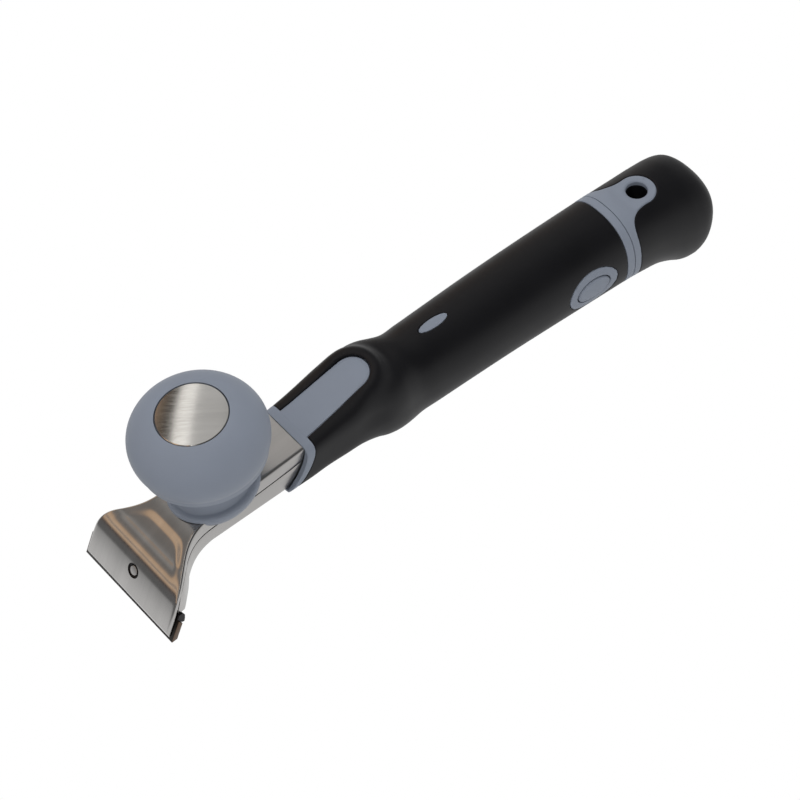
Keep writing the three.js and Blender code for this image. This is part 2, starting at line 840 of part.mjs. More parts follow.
function releaseButton(side) {
  const face = handleBody(() => -buttonProud);
  const column = sideColumn(buttonLength, buttonHeight, flangeRest, handleWidth, side);
  const flange = sideColumn(
    buttonLength + 2 * buttonFlange, buttonHeight + 2 * buttonFlange,
    flangeRest, flangeRest + buttonFlangeThickness, side,
  );
  return unite(column.intersect(face), flange);
}

// Latch arm: a springy tongue with an oval catch that stands in the button's window
function latchArm(side) {
  const root = plugNeck + armRootDepth;
  const strip = block(
    armFront, root, side * armInner, side * armOuter,
    handleAxis - armHeight / 2, handleAxis + armHeight / 2,
  );
  const catchColumn = sideColumn(
    buttonLength + 2 * (buttonFlange - seat), buttonHeight + 2 * (buttonFlange - seat),
    armInner, armOuter + armCatch, side,
  );
  return unite(strip, catchColumn);
}

// Cap: ring, tongue and eyelet in grey, plug and a lined hanging hole
function tongueColumn(grow) {
  const root = capStart + capRingWidth + grow;
  const radius = eyeletRadius + grow;
  const reach = radius * Math.cos(eyeletNeckAngle);
  const width = radius * Math.sin(eyeletNeckAngle);
  const shape = new THREE.Shape();
  shape.moveTo(capStart - overrun, -eyeletRootHalfWidth - grow);
  shape.lineTo(root, -eyeletRootHalfWidth - grow);
  shape.quadraticCurveTo(root, -width, holePlace - reach, -width);
  shape.absarc(holePlace, 0, radius, Math.PI + eyeletNeckAngle, 3 * Math.PI - eyeletNeckAngle);
  shape.quadraticCurveTo(root, width, root, eyeletRootHalfWidth + grow);
  shape.lineTo(capStart - overrun, eyeletRootHalfWidth + grow);
  return upright(shape, handleAxis, handleAxis + handleHeight, 10);
}

const lowerEyelet = (grow) => rod(lowerEyeletRadius + grow, -overrun, handleAxis, holePlace);

function capCore() {
  const body = capBody(0);
  const crown = handleAxis + handleHeight / 2;
  const facet = across(outline([
    [capStart - overrun, crown],
    [capStart + capRingWidth, crown],
    [holePlace - eyeletRadius, eyeletTop],
    [handleEnd, eyeletTop],
    [handleEnd, -overrun],
    [capStart - overrun, -overrun],
  ]), 2 * handleWidth);
  const shell = unite(
    capBody(skinAtGrip),
    body.intersect(unite(ringSlab(capStart - overrun, capStart + capRingWidth), lowerEyelet(0))),
    body.intersect(tongueColumn(0)).intersect(facet),
    lengthwise(
      roundedSection(cavityWidth - 2 * seat, cavityHeight - 2 * seat, cavityCorner),
      plugNeck, capStart + seat,
    ),
    lengthwise(
      roundedSection(2 * (armInner - seat), cavityHeight - 2 * seat, cavityCorner),
      plugFront, capStart,
    ),
  );
  const pockets = sides.map((side) => block(
    plugNeck - overrun, plugNeck + armRootDepth + seat,
    side * (armInner - seat), side * cavityWidth,
    handleAxis - armHeight / 2 - seat, handleAxis + armHeight / 2 + seat,
  ));
  const slot = block(
    plugFront - overrun, plugFront + trayTailLength,
    -trayTailWidth / 2 - seat, trayTailWidth / 2 + seat,
    trayTailFloor - seat, trayTailFloor + trayTailHeight + seat,
  );
  return cutAway(shell, rod(holeRadius, -overrun, 2 * handleAxis, holePlace), ...pockets, slot);
}

function capGrip() {
  return cutAway(
    capBody(0),
    capBody(skinAtGrip - seat),
    ringSlab(capStart - overrun, capStart + capRingWidth + seat),
    tongueColumn(seat),
    lowerEyelet(seat),
  );
}

function magazineTray() {
  const half = bladeHeight / 2 + seat + trayWall;
  const rear = plugFront - seat;
  const well = block(
    trayFront + trayWall, rear - trayWall, -half + trayWall, half - trayWall,
    trayFloor + trayWall, trayFloor + trayHeight + overrun,
  );
  const tail = block(
    rear - trayWall, plugFront + trayTailLength - seat, -trayTailWidth / 2, trayTailWidth / 2,
    trayTailFloor, trayTailFloor + trayTailHeight,
  );
  const trough = block(trayFront, rear, -half, half, trayFloor, trayFloor + trayHeight);
  return unite(cutAway(trough, well), tail);
}

// Assembly
const tool = new THREE.Group();
const head = new THREE.Group();
const jaw = new THREE.Group();
const handle = new THREE.Group();
head.rotation.y = -headPitch;
jaw.rotation.y = -jawSlope;

jaw.add(
  part('blade', blade(), carbide),
  part('clamp_plate', clampPlate(), blackSteel),
  part('clamp_screw', clampScrew(), steelFinish),
  part('thread_bush', threadBush(), steelFinish),
);

head.add(
  jaw,
  part('upper_shell', upperShell(), steelFinish),
  part('lower_shell', lowerShell(), steelFinish),
  part('spacer_tube', spacerTube(), steelFinish),
  part('knob_screw', knobScrew(), steelFinish),
  part('knob_insert', knobInsert(), brass),
  part('knob_base', knobBase(), greyPlastic),
  part('knob_grip', knobGrip(), greyPlastic),
  part('knob_disc', knobDisc(), steelFinish),
);
['front', 'rear'].forEach((name, index) => {
  const pin = crossRod(tangPinRadius, tangPinLength, tangPinPlaces[index], tangPinHeight);
  head.add(part(`tang_pin_${name}`, pin, steelFinish));
});

handle.add(
  part('handle_core', handleCore(), greyPlastic),
  part('handle_grip', handleGrip(), softBlack),
  part('cap_core', capCore(), greyPlastic),
  part('cap_grip', capGrip(), softBlack),
  part('magazine_tray', magazineTray(), innerBlack),
);
['left', 'right'].forEach((name, index) => {
  handle.add(part(`release_button_${name}`, releaseButton(sides[index]), greyPlastic));
  handle.add(part(`latch_arm_${name}`, latchArm(sides[index]), innerBlack));
});
for (let spare = 0; spare < spareCount; spare += 1) {
  const mesh = part(`spare_blade_${spare + 1}`, blade(), carbide);
  mesh.rotation.z = Math.PI / 2;
  mesh.position.set(
    (trayFront + plugFront) / 2,
    -bladeHeight / 2,
    trayFloor + trayWall + (spare + 1) * (bladeThickness + seat),
  );
  handle.add(mesh);
}

tool.add(head, handle);
tool.position.x = -middle;

export default tool;
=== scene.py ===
"""Two-handed paint scraper: the visible surfaces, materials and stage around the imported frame."""
from math import acos, ceil, cos, pi, radians, sin, sqrt, tan

import bmesh
import bpy
import numpy as np
from mathutils import Matrix, Vector


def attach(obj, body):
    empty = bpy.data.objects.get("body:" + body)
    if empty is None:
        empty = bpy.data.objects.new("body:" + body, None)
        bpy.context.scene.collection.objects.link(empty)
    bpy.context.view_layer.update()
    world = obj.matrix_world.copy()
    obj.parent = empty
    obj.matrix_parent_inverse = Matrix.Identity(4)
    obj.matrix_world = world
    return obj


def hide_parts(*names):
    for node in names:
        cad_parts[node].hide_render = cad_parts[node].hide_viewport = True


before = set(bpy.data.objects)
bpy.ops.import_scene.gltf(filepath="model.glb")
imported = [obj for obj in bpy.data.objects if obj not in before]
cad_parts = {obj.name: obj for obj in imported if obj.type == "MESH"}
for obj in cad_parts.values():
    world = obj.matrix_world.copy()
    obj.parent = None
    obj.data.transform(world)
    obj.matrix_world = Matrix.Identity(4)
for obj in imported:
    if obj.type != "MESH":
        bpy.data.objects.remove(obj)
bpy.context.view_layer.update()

bl_info = {
    "name": "Paint scraper",
    "version": (1, 0, 0),
    "blender": (4, 5, 0),
    "location": "View3D > Sidebar > Scraper",
    "description": "Makes the steel head, palm knob, handle and end cap of a two-handed paint scraper",
    "category": "Add Mesh",
}

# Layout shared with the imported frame, in millimetres from the cutting edge
MM = 0.001
MIDDLE = 128.24
HEAD_PITCH = radians(6.3)
JAW_SLOPE = radians(59)
JAW_COS, JAW_SIN = cos(JAW_SLOPE), sin(JAW_SLOPE)
SEAT = 0.3
THREAD_GAP = 0.1

# Head
LIP_SETBACK = 1.3
LIP_SLANT = 2.0
JAW_LENGTH = 20.4
JAW_BEND = 14
JAW_HALF = 23.6
SADDLE_SLOPE = radians(15)
SADDLE_DIP = 0.36
SADDLE_CREST = 0.27
DISH_DEPTH = 0.52
DISH_WALL = 3.4
DISH_INSET = 2.2
DISH_CORNER = 1.4
DISH_START, DISH_FULL, DISH_END = 8, 18.5, 22.5
STEM_TOP = 25.25
STEM_HALF = 10.4
STEM_START = 32
STEM_END = 74.4
STEM_LOWER_END = 65.3
TANG_END = 112
TANG_STEP = 1.5
SEAM_HEIGHT = 19.8
SEAM_UP = 18.7
SEAM_BENDS = ((20, 19.9), (14, 18.9))
SEAM_STEP = 0.06
SEAM_GAP = 0.55
FLARE = ((3.5, JAW_HALF), (15, JAW_HALF), (16.5, STEM_HALF), (STEM_START, STEM_HALF))
FLOOR_LINE = ((17, 12.2), (STEM_START, 12.8), (STEM_LOWER_END, 10.4), (STEM_LOWER_END + TANG_STEP, 11.9),
              (TANG_END, 11.9))
CHEEK_LINE = ((17, 13.1), (16.2, 12.2), (14.6, 10.9), (12.3, 10.0), (9.54, 7.92), (6.02, 10.04), (4.2, 11.2))
BLADE_HEIGHT = 9.5
BLADE_THICKNESS = 2
BLADE_GRIND = 1.2
BLADE_HALF = 25
CLAMP_THICKNESS = 2
# Outlines of the clamp plate's heel and of its two lugs as heights up the jaw and out of it, and the lugs' ends. The
# black heel is partly the clamp plate's end and partly painted shade: a dark block filling the shadowed gap above the
# blade's back edge
HEEL = ((9.5, -0.3), (11.5, -0.3), (11.5, -1.2), (11.5, -2.3), (10.4, -2.2), (8.5, -3.2), (8.4, -2.2))
LUG = ((9.75, 0.1), (11.9, 0.1), (12.5, -1.2), (11.6, -2.4), (10.1, -2.9), (8.5, -3.2), (8.25, -2.3))
LUG_ENDS = (23.75, 24.4)
SCREW_PLACE = 12.5
SCREW_RADIUS = 2
SCREW_HEAD_RADIUS = 3.6
SCREW_HEAD_HEIGHT = 2.4
BUSH_RADIUS = 2.7
BUSH_DEPTH = 3.3
SOCKET_ACROSS = 3
SOCKET_DEPTH = 1.3
# Radius of the ring that a turned profile is swept round, and height of a thread's ridge as a share of its pitch
CARRIER = 10
RIDGE_SHARE = 0.42

# Knob
KNOB_PLACE = 42.5
FLANGE_RADIUS = 17.2
FLANGE_HEIGHT = 1.8
FOOT_OVAL = 0.86
NECK_RADIUS = 12
NECK_HEIGHT = 12.2
BOSS_GAP = 0.05
SKIRT_RADIUS = 14.6
RIM_HEIGHT = 20.9
KNOB_HEIGHT = 42
BULGE = 1.335
FULLNESS = (0.52, 0.84, 0.94)
DISC_RADIUS = 12.5
DISC_THICKNESS = 1.4

# Handle and cap
HANDLE_START = 58
HANDLE_SEAM = 215.7
CAP_START = 216
HANDLE_END = 257.84
AXIS = 25
HANDLE_HEIGHT = 32.8
HANDLE_WIDTH = 32
COLLAR_LOW = 63.4
COLLAR_TOP = 73.8
COLLAR_BAND = 3.4
COLLAR_SWEEP = (1, 6.2)
COLLAR_FLOOR = 10.4
PAD_HALVES = (8.1, 7)
PAD_END = 106.2
# The skin round the thumb pad: how much it rises or falls, how far from the pad, and over what width
RIM_SWELL = (1.15, 2.2, 2.6)
RIM_CREASE = (0.8, 8, 2.8)
END_RING = 3.2
GRIP_SKIN = 0.75
MARKER = (135.9, 12.4, 4)
BUTTON_PLACE = 196.5
BUTTON_SIZE = (15, 9.4)
SURROUND_SIZE = (22, 16)
FLANGE_REST = 11.6
FLANGE_GROW = 1.1
CAP_RING = 2.7
CAP_SKIN = 1.7
HOLE_PLACE = 230.2
HOLE_RADIUS = 4.1
EYELET_RADIUS = 7.1
EYELET_TOP = 40.05
EYELET_NECK = radians(80)
TONGUE_HALF = 15.2
LOWER_EYELET = 6
# Where a skin is split near its edge, as shares of the edge's rounding, and the rounding of a grey face
EDGE_SHARES = (0, 0.06, 0.22, 0.5, 1, 1.4)
FACE_ROUNDING = 0.3

# A rounded edge as shares of its radius: how far in from the side, and how far down from the face
QUARTER = [(1 - sin(angle), 1 - cos(angle)) for angle in np.linspace(0, pi / 2, 7)]

# Stations of the handle and the cap: place, top, underside and half-width as shares, squareness
GRIP_STATIONS = (
    (0, 0.232, 0.28, 0.385, 6), (0.05, 0.248, 0.277, 0.388, 6), (0.089, 0.273, 0.271, 0.391, 6),
    (0.127, 0.314, 0.257, 0.397, 5.5), (0.178, 0.383, 0.26, 0.413, 4.8), (0.228, 0.456, 0.266, 0.438, 4),
    (0.266, 0.508, 0.318, 0.466, 3.5), (0.292, 0.532, 0.384, 0.488, 3.2), (0.317, 0.532, 0.43, 0.492, 3),
    (0.342, 0.5, 0.462, 0.482, 2.8), (0.368, 0.458, 0.488, 0.458, 2.6), (0.393, 0.434, 0.503, 0.438, 2.4),
    (0.444, 0.436, 0.498, 0.444, 2.35), (0.495, 0.442, 0.484, 0.456, 2.3), (0.647, 0.466, 0.457, 0.478, 2.3),
    (0.837, 0.491, 0.479, 0.491, 2.3), (1, 0.497, 0.503, 0.5, 2.3),
)
CAP_STATIONS = (
    (0, 0.497, 0.503, 0.5, 2.3), (0.15, 0.494, 0.53, 0.503, 2.3), (0.34, 0.485, 0.573, 0.513, 2.3),
    (0.48, 0.473, 0.655, 0.534, 2.3), (0.6, 0.457, 0.744, 0.553, 2.3), (0.72, 0.433, 0.762, 0.562, 2.3),
    (0.81, 0.395, 0.68, 0.553, 2.3), (0.885, 0.348, 0.515, 0.506, 2.3), (0.945, 0.272, 0.325, 0.406, 2.2),
    (0.985, 0.15, 0.15, 0.25, 2.1), (1, -0.02, 0.03, 0.06, 2),
)

# What polished pieces reflect, from the horizon on the photo's left, over the top, to the horizon on its right
SKY_BANDS = (
    (0.0, (0.2, 0.19, 0.19)), (0.05, (0.1, 0.09, 0.09)), (0.08, (0.75, 0.52, 0.34)), (0.105, (0.9, 0.68, 0.5)),
    (0.125, (0.3, 0.26, 0.24)), (0.15, (0.9, 0.66, 0.46)), (0.19, (0.8, 0.55, 0.36)), (0.215, (0.3, 0.27, 0.25)),
    (0.262, (0.24, 0.23, 0.22)), (0.29, (0.42, 0.41, 0.4)), (0.31, (0.42, 0.4, 0.38)), (0.325, (0.6, 0.42, 0.28)),
    (0.342, (0.6, 0.4, 0.26)), (0.354, (0.3, 0.22, 0.16)), (0.372, (0.07, 0.06, 0.05)), (0.385, (0.06, 0.055, 0.05)),
    (0.39, (1.35, 1.33, 1.3)), (0.413, (1.35, 1.34, 1.32)), (0.418, (0.64, 0.64, 0.64)), (0.46, (0.62, 0.62, 0.62)),
    (0.52, (0.2, 0.2, 0.2)), (0.58, (0.09, 0.09, 0.09)), (0.82, (0.09, 0.09, 0.09)), (0.93, (0.6, 0.6, 0.6)),
    (1.0, (0.9, 0.9, 0.9)),
)
SKY_ACROSS = (-0.777, 0.629, 0)
SKY_PEAK = 1.35
WHITE = (1, 1, 1, 1)

# Stage: the floor's half-width, how far it lies under the tool, and the camera's place in metres and turn in degrees
FLOOR_HALF = 2000
FLOOR_DROP = 0.4
CAMERA_PLACE = (-0.42519, -0.57115, 0.88894)
CAMERA_TURN = (38.7483, 2.2884, -38.9568)
LENS = 144
# How the floor shows in reflections: it turns from dark to pale between two places along X, in metres
FLOOR_FADE = (-0.178, -0.14, 0.18, 0.84)

TOOL_PLACE = Matrix.Translation((-MIDDLE * MM, 0, 0))
HEAD_PLACE = TOOL_PLACE @ Matrix.Rotation(-HEAD_PITCH, 4, "Y")
JAW_PLACE = HEAD_PLACE @ Matrix.Rotation(-JAW_SLOPE, 4, "Y")
KNOB_AXIS = HEAD_PLACE @ Matrix.Translation((KNOB_PLACE * MM, 0, 0))
SCREW_AXIS = JAW_PLACE @ Matrix.Translation((SCREW_PLACE * MM, 0, 0))
HOLE_AXIS = TOOL_PLACE @ Matrix.Translation((HOLE_PLACE * MM, 0, 0))


# Sizes and colours that a user would change
def length(name, description, default_mm):
    return bpy.props.FloatProperty(
        name=name, description=description, default=default_mm * MM, min=0, subtype="DISTANCE", unit="LENGTH")


def colour(name, description, default):
    return bpy.props.FloatVectorProperty(
        name=name, description=description, default=default, size=3, min=0, max=1, subtype="COLOR")


def amount(name, description, default, unit="NONE"):
    return bpy.props.FloatProperty(name=name, description=description, default=default, min=0, unit=unit)


class HeadSizes(bpy.types.PropertyGroup):
    sheet: length("Sheet", "Thickness of the pressed steel", 1.6)
    fold: length("Fold", "Outer radius of the folds along the stem", 1.2)
    edge: length("Edge", "Rounding of the cut edges of the sheet", 0.22)
    thread_pitch: length("Thread pitch", "Pitch of the clamp screw", 0.7)


class KnobSizes(bpy.types.PropertyGroup):
    rim: length("Rim radius", "Radius of the dome at its foot, without the lip", 21.6)
    lip: length("Lip", "Height of the lip round the rim", 1.0)
    flare: length("Flare", "How far the lip stands out from the dome", 0.9)
    lip_rise: length("Lip rise", "Height over which the dome flares into the lip", 2.2)
    sides: bpy.props.IntProperty(name="Sides", description="Steps round each turned piece", default=144, min=24)


class HandleSizes(bpy.types.PropertyGroup):
    step: length("Step", "Distance between the points of the handle's surface", 0.85)
    gap: length("Gap", "Half of the groove between the soft skin and a grey face", 0.12)
    rounding: length("Rounding", "Rounding of the soft skin along a grey face", 0.5)
    veneer: length("Face depth", "Depth of a grey face under the surface", 0.8)
    pad_sink: length("Pad sink", "How far the thumb pad lies below the skin", 0.45)
    button_proud: length("Button proud", "How far the release button stands out", 0.4)


class FinishColours(bpy.types.PropertyGroup):
    steel: colour("Steel", "Plated sheet steel", (0.47, 0.46, 0.45))
    disc: colour("Disc", "Brushed disc", (0.56, 0.545, 0.52))
    grey: colour("Grey", "Grey moulding", (0.205, 0.232, 0.285))
    black: colour("Black", "Black soft skin", (0.0052, 0.0052, 0.0066))
    carbide: colour("Carbide", "Ground ends of the carbide blade", (0.13, 0.09, 0.065))


class StudioSettings(bpy.types.PropertyGroup):
    key: amount("Key", "Power of the key lamp", 4.2, "POWER")
    fill: amount("Fill", "Power of the side lamps", 1.4, "POWER")
    sky: amount("Sky", "Strength of the even light", 0.55)


GROUPS = {
    "head": HeadSizes, "knob": KnobSizes, "handle": HandleSizes, "finish": FinishColours, "studio": StudioSettings}


def settings(name):
    return getattr(bpy.context.scene, f"scraper_{name}")


def sizes(group, *names):
    """Named sizes of a group in millimetres."""
    return [getattr(settings(group), name) / MM for name in names]


def ease(value):
    """A smooth step from nought to one, held at both ends."""
    share = np.clip(value, 0, 1)
    return share * share * (3 - 2 * share)


def read(line, place):
    """The height of a line of points at a place."""
    line = np.asarray(line)
    return np.interp(place, line[:, 0], line[:, 1])


# Meshes
def link_new(name, data):
    piece = bpy.data.objects.new(name, data)
    bpy.context.scene.collection.objects.link(piece)
    return piece


def add_piece(name, points, faces, place=TOOL_PLACE):
    """A new object from points in millimetres, with its place in its mesh."""
    mesh = bpy.data.meshes.new(name)
    mesh.from_pydata((np.asarray(points, dtype=float) * MM).tolist(), [], [list(face) for face in faces])
    mesh.transform(place)
    mesh.validate()
    return link_new(name, mesh)


def face_outwards(mesh):
    work = bmesh.new()
    work.from_mesh(mesh)
    bmesh.ops.remove_doubles(work, verts=work.verts, dist=1e-7)
    bmesh.ops.recalc_face_normals(work, faces=work.faces)
    work.to_mesh(mesh)
    work.free()


def solid(name, shape, place):
    """A closed piece from the points and faces of a shape."""
    piece = add_piece(name, *shape, place=place)
    face_outwards(piece.data)
    return piece


def freeze(piece):
    """Turns what the modifiers make into the piece's own plain mesh."""
    graph = bpy.context.evaluated_depsgraph_get()
    graph.update()
    made = bpy.data.meshes.new_from_object(piece.evaluated_get(graph))
    piece.modifiers.clear()
    piece.data = made
    made.name = piece.name
    return piece


def cut(piece, cutter):
    """Takes the cutter's shape out of a piece, and removes the cutter."""
    modifier = piece.modifiers.new("Cut", "BOOLEAN")
    modifier.operation, modifier.solver, modifier.object = "DIFFERENCE", "EXACT", cutter
    freeze(piece)
    bpy.data.objects.remove(cutter)
    return piece


def soft_edges(piece, width, angle=35):
    modifier = piece.modifiers.new("Soft edges", "BEVEL")
    modifier.width, modifier.segments = width * MM, 2
    modifier.limit_method, modifier.angle_limit = "ANGLE", radians(angle)


def finish(piece, material, body, nodes=(), angle=38):
    face_outwards(piece.data)
    piece.data.materials.clear()
    piece.data.materials.append(material)
    piece.data.shade_smooth()
    piece.data.set_sharp_from_angle(angle=radians(angle))
    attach(piece, body)
    if nodes:
        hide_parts(*nodes)


def dress(node, material, edge=0):
    """Gives a carried-over CAD node its material and, where it has room, soft edges."""
    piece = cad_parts[node]
    for entry in piece.material_slots:
        entry.material = material
    if edge:
        piece.modifiers.new("Join", "WELD").merge_threshold = 1e-6
        soft_edges(piece, edge, 40)


def loft(rings, caps=True):
    """Points and faces of a stack of equal closed rings."""
    rings = np.asarray(rings)
    count, sides = rings.shape[:2]
    faces = []
    for first in range(0, (count - 1) * sides, sides):
        for side in range(sides):
            a, b = first + side, first + (side + 1) % sides
            faces.append((a, b, b + sides, a + sides))
    if caps:
        faces += [tuple(range(sides))[::-1], tuple(range((count - 1) * sides, count * sides))]
    return rings.reshape(-1, 3), faces


def prism(outline, low, high, plane="XY"):
    """A closed block from an outline in a plane, between two heights across it."""
    outline = np.asarray(outline, dtype=float)
    rings = []
    for height in (low, high):
        rest = np.full(len(outline), float(height))
        columns = (outline[:, 0], outline[:, 1], rest) if plane == "XY" else (outline[:, 0], rest, outline[:, 1])
        rings.append(np.column_stack(columns))
    return loft(rings)


def bezier(points, steps):
    """Points of a quadratic or cubic curve, both ends included."""
    t = np.linspace(0, 1, steps + 1)[:, None]
    points = [np.asarray(point, dtype=float) for point in points]
    while len(points) > 1:
        points = [a * (1 - t) + b * t for a, b in zip(points, points[1:])]
    return points[0]


def soften(profile, radius, steps=4):
    """Rounds the corners of an open profile."""
    profile = [np.asarray(point, dtype=float) for point in profile]
    out = [profile[0]]
    for before, corner, after in zip(profile, profile[1:], profile[2:]):
        a, b = before - corner, after - corner
        la, lb = np.linalg.norm(a), np.linalg.norm(b)
        bend = acos(np.clip(np.dot(a, b) / (la * lb), -1, 1))
        if bend > radians(150):
            out.append(corner)
            continue
        reach = min(radius, 0.45 * la, 0.45 * lb)
        out.extend(bezier([corner + a / la * reach, corner, corner + b / lb * reach], steps))
    out.append(profile[-1])
    return out


# Geometry Nodes
def set_inputs(tree, node, inputs):
    """Links each input to a socket or to the first output of a node, or sets it to a value."""
    for key, value in inputs.items():
        if isinstance(value, bpy.types.Node):
            value = value.outputs[0]
        if isinstance(value, bpy.types.NodeSocket):
            tree.links.new(value, node.inputs[key])
        else:
            node.inputs[key].default_value = value


def node_in(tree, kind, inputs=None, **values):
    node = tree.nodes.new(kind)
    for key, value in values.items():
        setattr(node, key, value)
    set_inputs(tree, node, inputs or {})
    return node


def maths(tree, operation, first, second=0.5, **values):
    return node_in(tree, "ShaderNodeMath", {0: first, 1: second}, operation=operation, **values)


def node_group(name, kind, inputs, outputs):
    """Turns a function that fills a node group into one that returns the group, made when first asked for."""
    def decorate(fill):
        def give():
            if name in bpy.data.node_groups:
                return bpy.data.node_groups[name]
            tree = bpy.data.node_groups.new(name, kind)
            for way, sockets in (("INPUT", inputs), ("OUTPUT", outputs)):
                for socket, value in sockets.items():
                    tree.interface.new_socket(socket, in_out=way, socket_type=f"NodeSocket{value}")
            results = fill(tree, tree.nodes.new("NodeGroupInput").outputs)
            set_inputs(tree, tree.nodes.new("NodeGroupOutput"), results)
            return tree
        return give
    return decorate


def painted(tree, geometry, finish_socket):
    """The end of every geometry tree: real geometry in its finish."""
    tree.is_modifier = True
    real = node_in(tree, "GeometryNodeRealizeInstances", {"Geometry": geometry})
    return {"Geometry": node_in(tree, "GeometryNodeSetMaterial", {"Geometry": real, "Material": finish_socket})}


def run_tree(piece, tree, **values):
    """Runs a tree on a piece with its named inputs set, and keeps the plain mesh."""
    modifier = piece.modifiers.new(tree.name, "NODES")
    modifier.node_group = tree
    for item in tree.interface.items_tree:
        if item.in_out == "INPUT" and item.name in values:
            modifier[item.identifier] = values[item.name]
    return freeze(piece)


@node_group("Turned profile", "GeometryNodeTree",
            {"Profile": "Geometry", "Sides": "Int", "Carrier": "Float", "Finish": "Material"}, {"Geometry": "Geometry"})
def turned_tree(tree, given):
    """Turns a profile, drawn as edges in X and Z, about the Z axis."""
    line = node_in(tree, "GeometryNodeMeshToCurve", {"Mesh": given["Profile"]})
    place = node_in(tree, "ShaderNodeSeparateXYZ", {"Vector": node_in(tree, "GeometryNodeInputPosition")}).outputs
    flat = node_in(tree, "ShaderNodeCombineXYZ", {"X": maths(tree, "SUBTRACT", place["X"], given["Carrier"]),
                                                  "Y": maths(tree, "MULTIPLY", place["Z"], -1.0)})
    laid = node_in(tree, "GeometryNodeSetPosition", {"Geometry": line, "Position": flat})
    ring = node_in(tree, "GeometryNodeCurvePrimitiveCircle",
                   {"Resolution": given["Sides"], "Radius": given["Carrier"]})
    swept = node_in(tree, "GeometryNodeCurveToMesh", {"Curve": ring, "Profile Curve": laid})
    closed = node_in(tree, "GeometryNodeMergeByDistance", {"Geometry": swept, "Distance": 2e-6})
    return painted(tree, closed, given["Finish"])


@node_group("Screw thread", "GeometryNodeTree",
            {"Shank": "Geometry", "Radius": "Float", "Pitch": "Float", "Turns": "Float", "Foot": "Float",
             "Ridge": "Float", "Finish": "Material"}, {"Geometry": "Geometry"})
def thread_tree(tree, given):
    """Winds a pointed ridge up a shank that stands on the origin, and joins it to the given piece."""
    rise = maths(tree, "MULTIPLY", given["Pitch"], given["Turns"])
    winding = node_in(tree, "GeometryNodeCurveSpiral", {
        "Resolution": 28, "Rotations": given["Turns"], "Start Radius": given["Radius"],
        "End Radius": given["Radius"], "Height": rise, "Reverse": True})
    foot = node_in(tree, "ShaderNodeCombineXYZ", {"Z": given["Foot"]})
    lifted = node_in(tree, "GeometryNodeTransform", {"Geometry": winding, "Translation": foot})
    ridge = node_in(tree, "GeometryNodeCurvePrimitiveCircle", {"Resolution": 4, "Radius": given["Ridge"]})
    swept = node_in(tree, "GeometryNodeCurveToMesh", {"Curve": lifted, "Profile Curve": ridge, "Fill Caps": True})
    joined = node_in(tree, "GeometryNodeJoinGeometry", {"Geometry": given["Shank"]})
    set_inputs(tree, joined, {"Geometry": swept})
    return painted(tree, joined, given["Finish"])


def turn(name, profile, material, place=Matrix.Identity(4), sides=None):
    """A turned piece from a profile of radius and height in millimetres, standing on its own axis."""
    mesh = bpy.data.meshes.new(name)
    mesh.from_pydata([(radius * MM, 0, height * MM) for radius, height in profile],
                     [(index, index + 1) for index in range(len(profile) - 1)], [])
    piece = run_tree(link_new(name, mesh), turned_tree(), Sides=sides or settings("knob").sides,
                     Carrier=CARRIER * MM, Finish=material)
    piece.data.transform(place)
    return piece


def wind(piece, material, radius, pitch, turns, foot):
    run_tree(piece, thread_tree(), Radius=radius * MM, Pitch=pitch * MM, Turns=float(turns),
             Foot=foot * MM, Ridge=RIDGE_SHARE * pitch * MM, Finish=material)


# Shader groups and materials
def object_place(tree):
    return node_in(tree, "ShaderNodeTexCoord").outputs["Object"]


def noise(tree, vector, scale, detail, rough, **more):
    return node_in(tree, "ShaderNodeTexNoise", {
        "Vector": vector, "Scale": scale, "Detail": detail, "Roughness": rough, **more}).outputs["Fac"]


def ranged(tree, value, low, high, to_low=0, to_high=1, **values):
    return node_in(tree, "ShaderNodeMapRange", {
        "Value": value, "From Min": low, "From Max": high, "To Min": to_low, "To Max": to_high}, **values)


@node_group("Moulded grain", "ShaderNodeTree", {"Fineness": "Float", "Patches": "Float"},
            {"Height": "Float", "Mask": "Float"})
def grain_group(tree, given):
    """Fine moulded grain: a height for bump and a slow mask for uneven gloss."""
    place = object_place(tree)
    return {"Height": noise(tree, place, given["Fineness"], 3.0, 0.6),
            "Mask": noise(tree, place, given["Patches"], 4.0, 0.55)}


@node_group("Brushed lines", "ShaderNodeTree", {"Turn": "Vector", "Stretch": "Vector", "Fineness": "Float"},
            {"Height": "Float", "Streak": "Float"})
def brush_group(tree, given):
    """Brushed lines: noise drawn out along one direction of the piece."""
    turned = node_in(tree, "ShaderNodeVectorRotate", {"Vector": object_place(tree), "Rotation": given["Turn"]},
                     rotation_type="EULER_XYZ")
    drawn = node_in(tree, "ShaderNodeVectorMath", {0: turned, 1: given["Stretch"]}, operation="MULTIPLY")
    return {"Height": noise(tree, drawn, given["Fineness"], 4.0, 0.65), "Streak": noise(tree, drawn, 180.0, 3.0, 0.6)}


@node_group("Rubbed marks", "ShaderNodeTree", {"Fineness": "Float", "Rarity": "Float"}, {"Mask": "Float"})
def scuff_group(tree, given):
    """Small rubbed marks and specks, scattered unevenly."""
    specks = noise(tree, object_place(tree), given["Fineness"], 6.0, 0.7, Distortion=0.6)
    return {"Mask": ranged(tree, specks, given["Rarity"], maths(tree, "ADD", given["Rarity"], 0.12))}


def use_group(tree, group, **inputs):
    node = node_in(tree, "ShaderNodeGroup", node_tree=group)
    set_inputs(tree, node, inputs)
    return node.outputs


def blank_tree(owner):
    """The emptied node tree of a new material or world."""
    owner.use_nodes = True
    owner.node_tree.nodes.clear()
    return owner.node_tree


def spread(tree, value, low, high):
    """Maps the middle of a noise to a range."""
    return ranged(tree, value, 0.3, 0.7, low, high)


def blend_colours(tree, factor, first, second):
    """A colour between two, each one a socket or three parts."""
    ends = [end if isinstance(end, bpy.types.NodeSocket) else (*end, 1) for end in (first, second)]
    return node_in(tree, "ShaderNodeMix", {0: factor, 6: ends[0], 7: ends[1]}, data_type="RGBA").outputs[2]


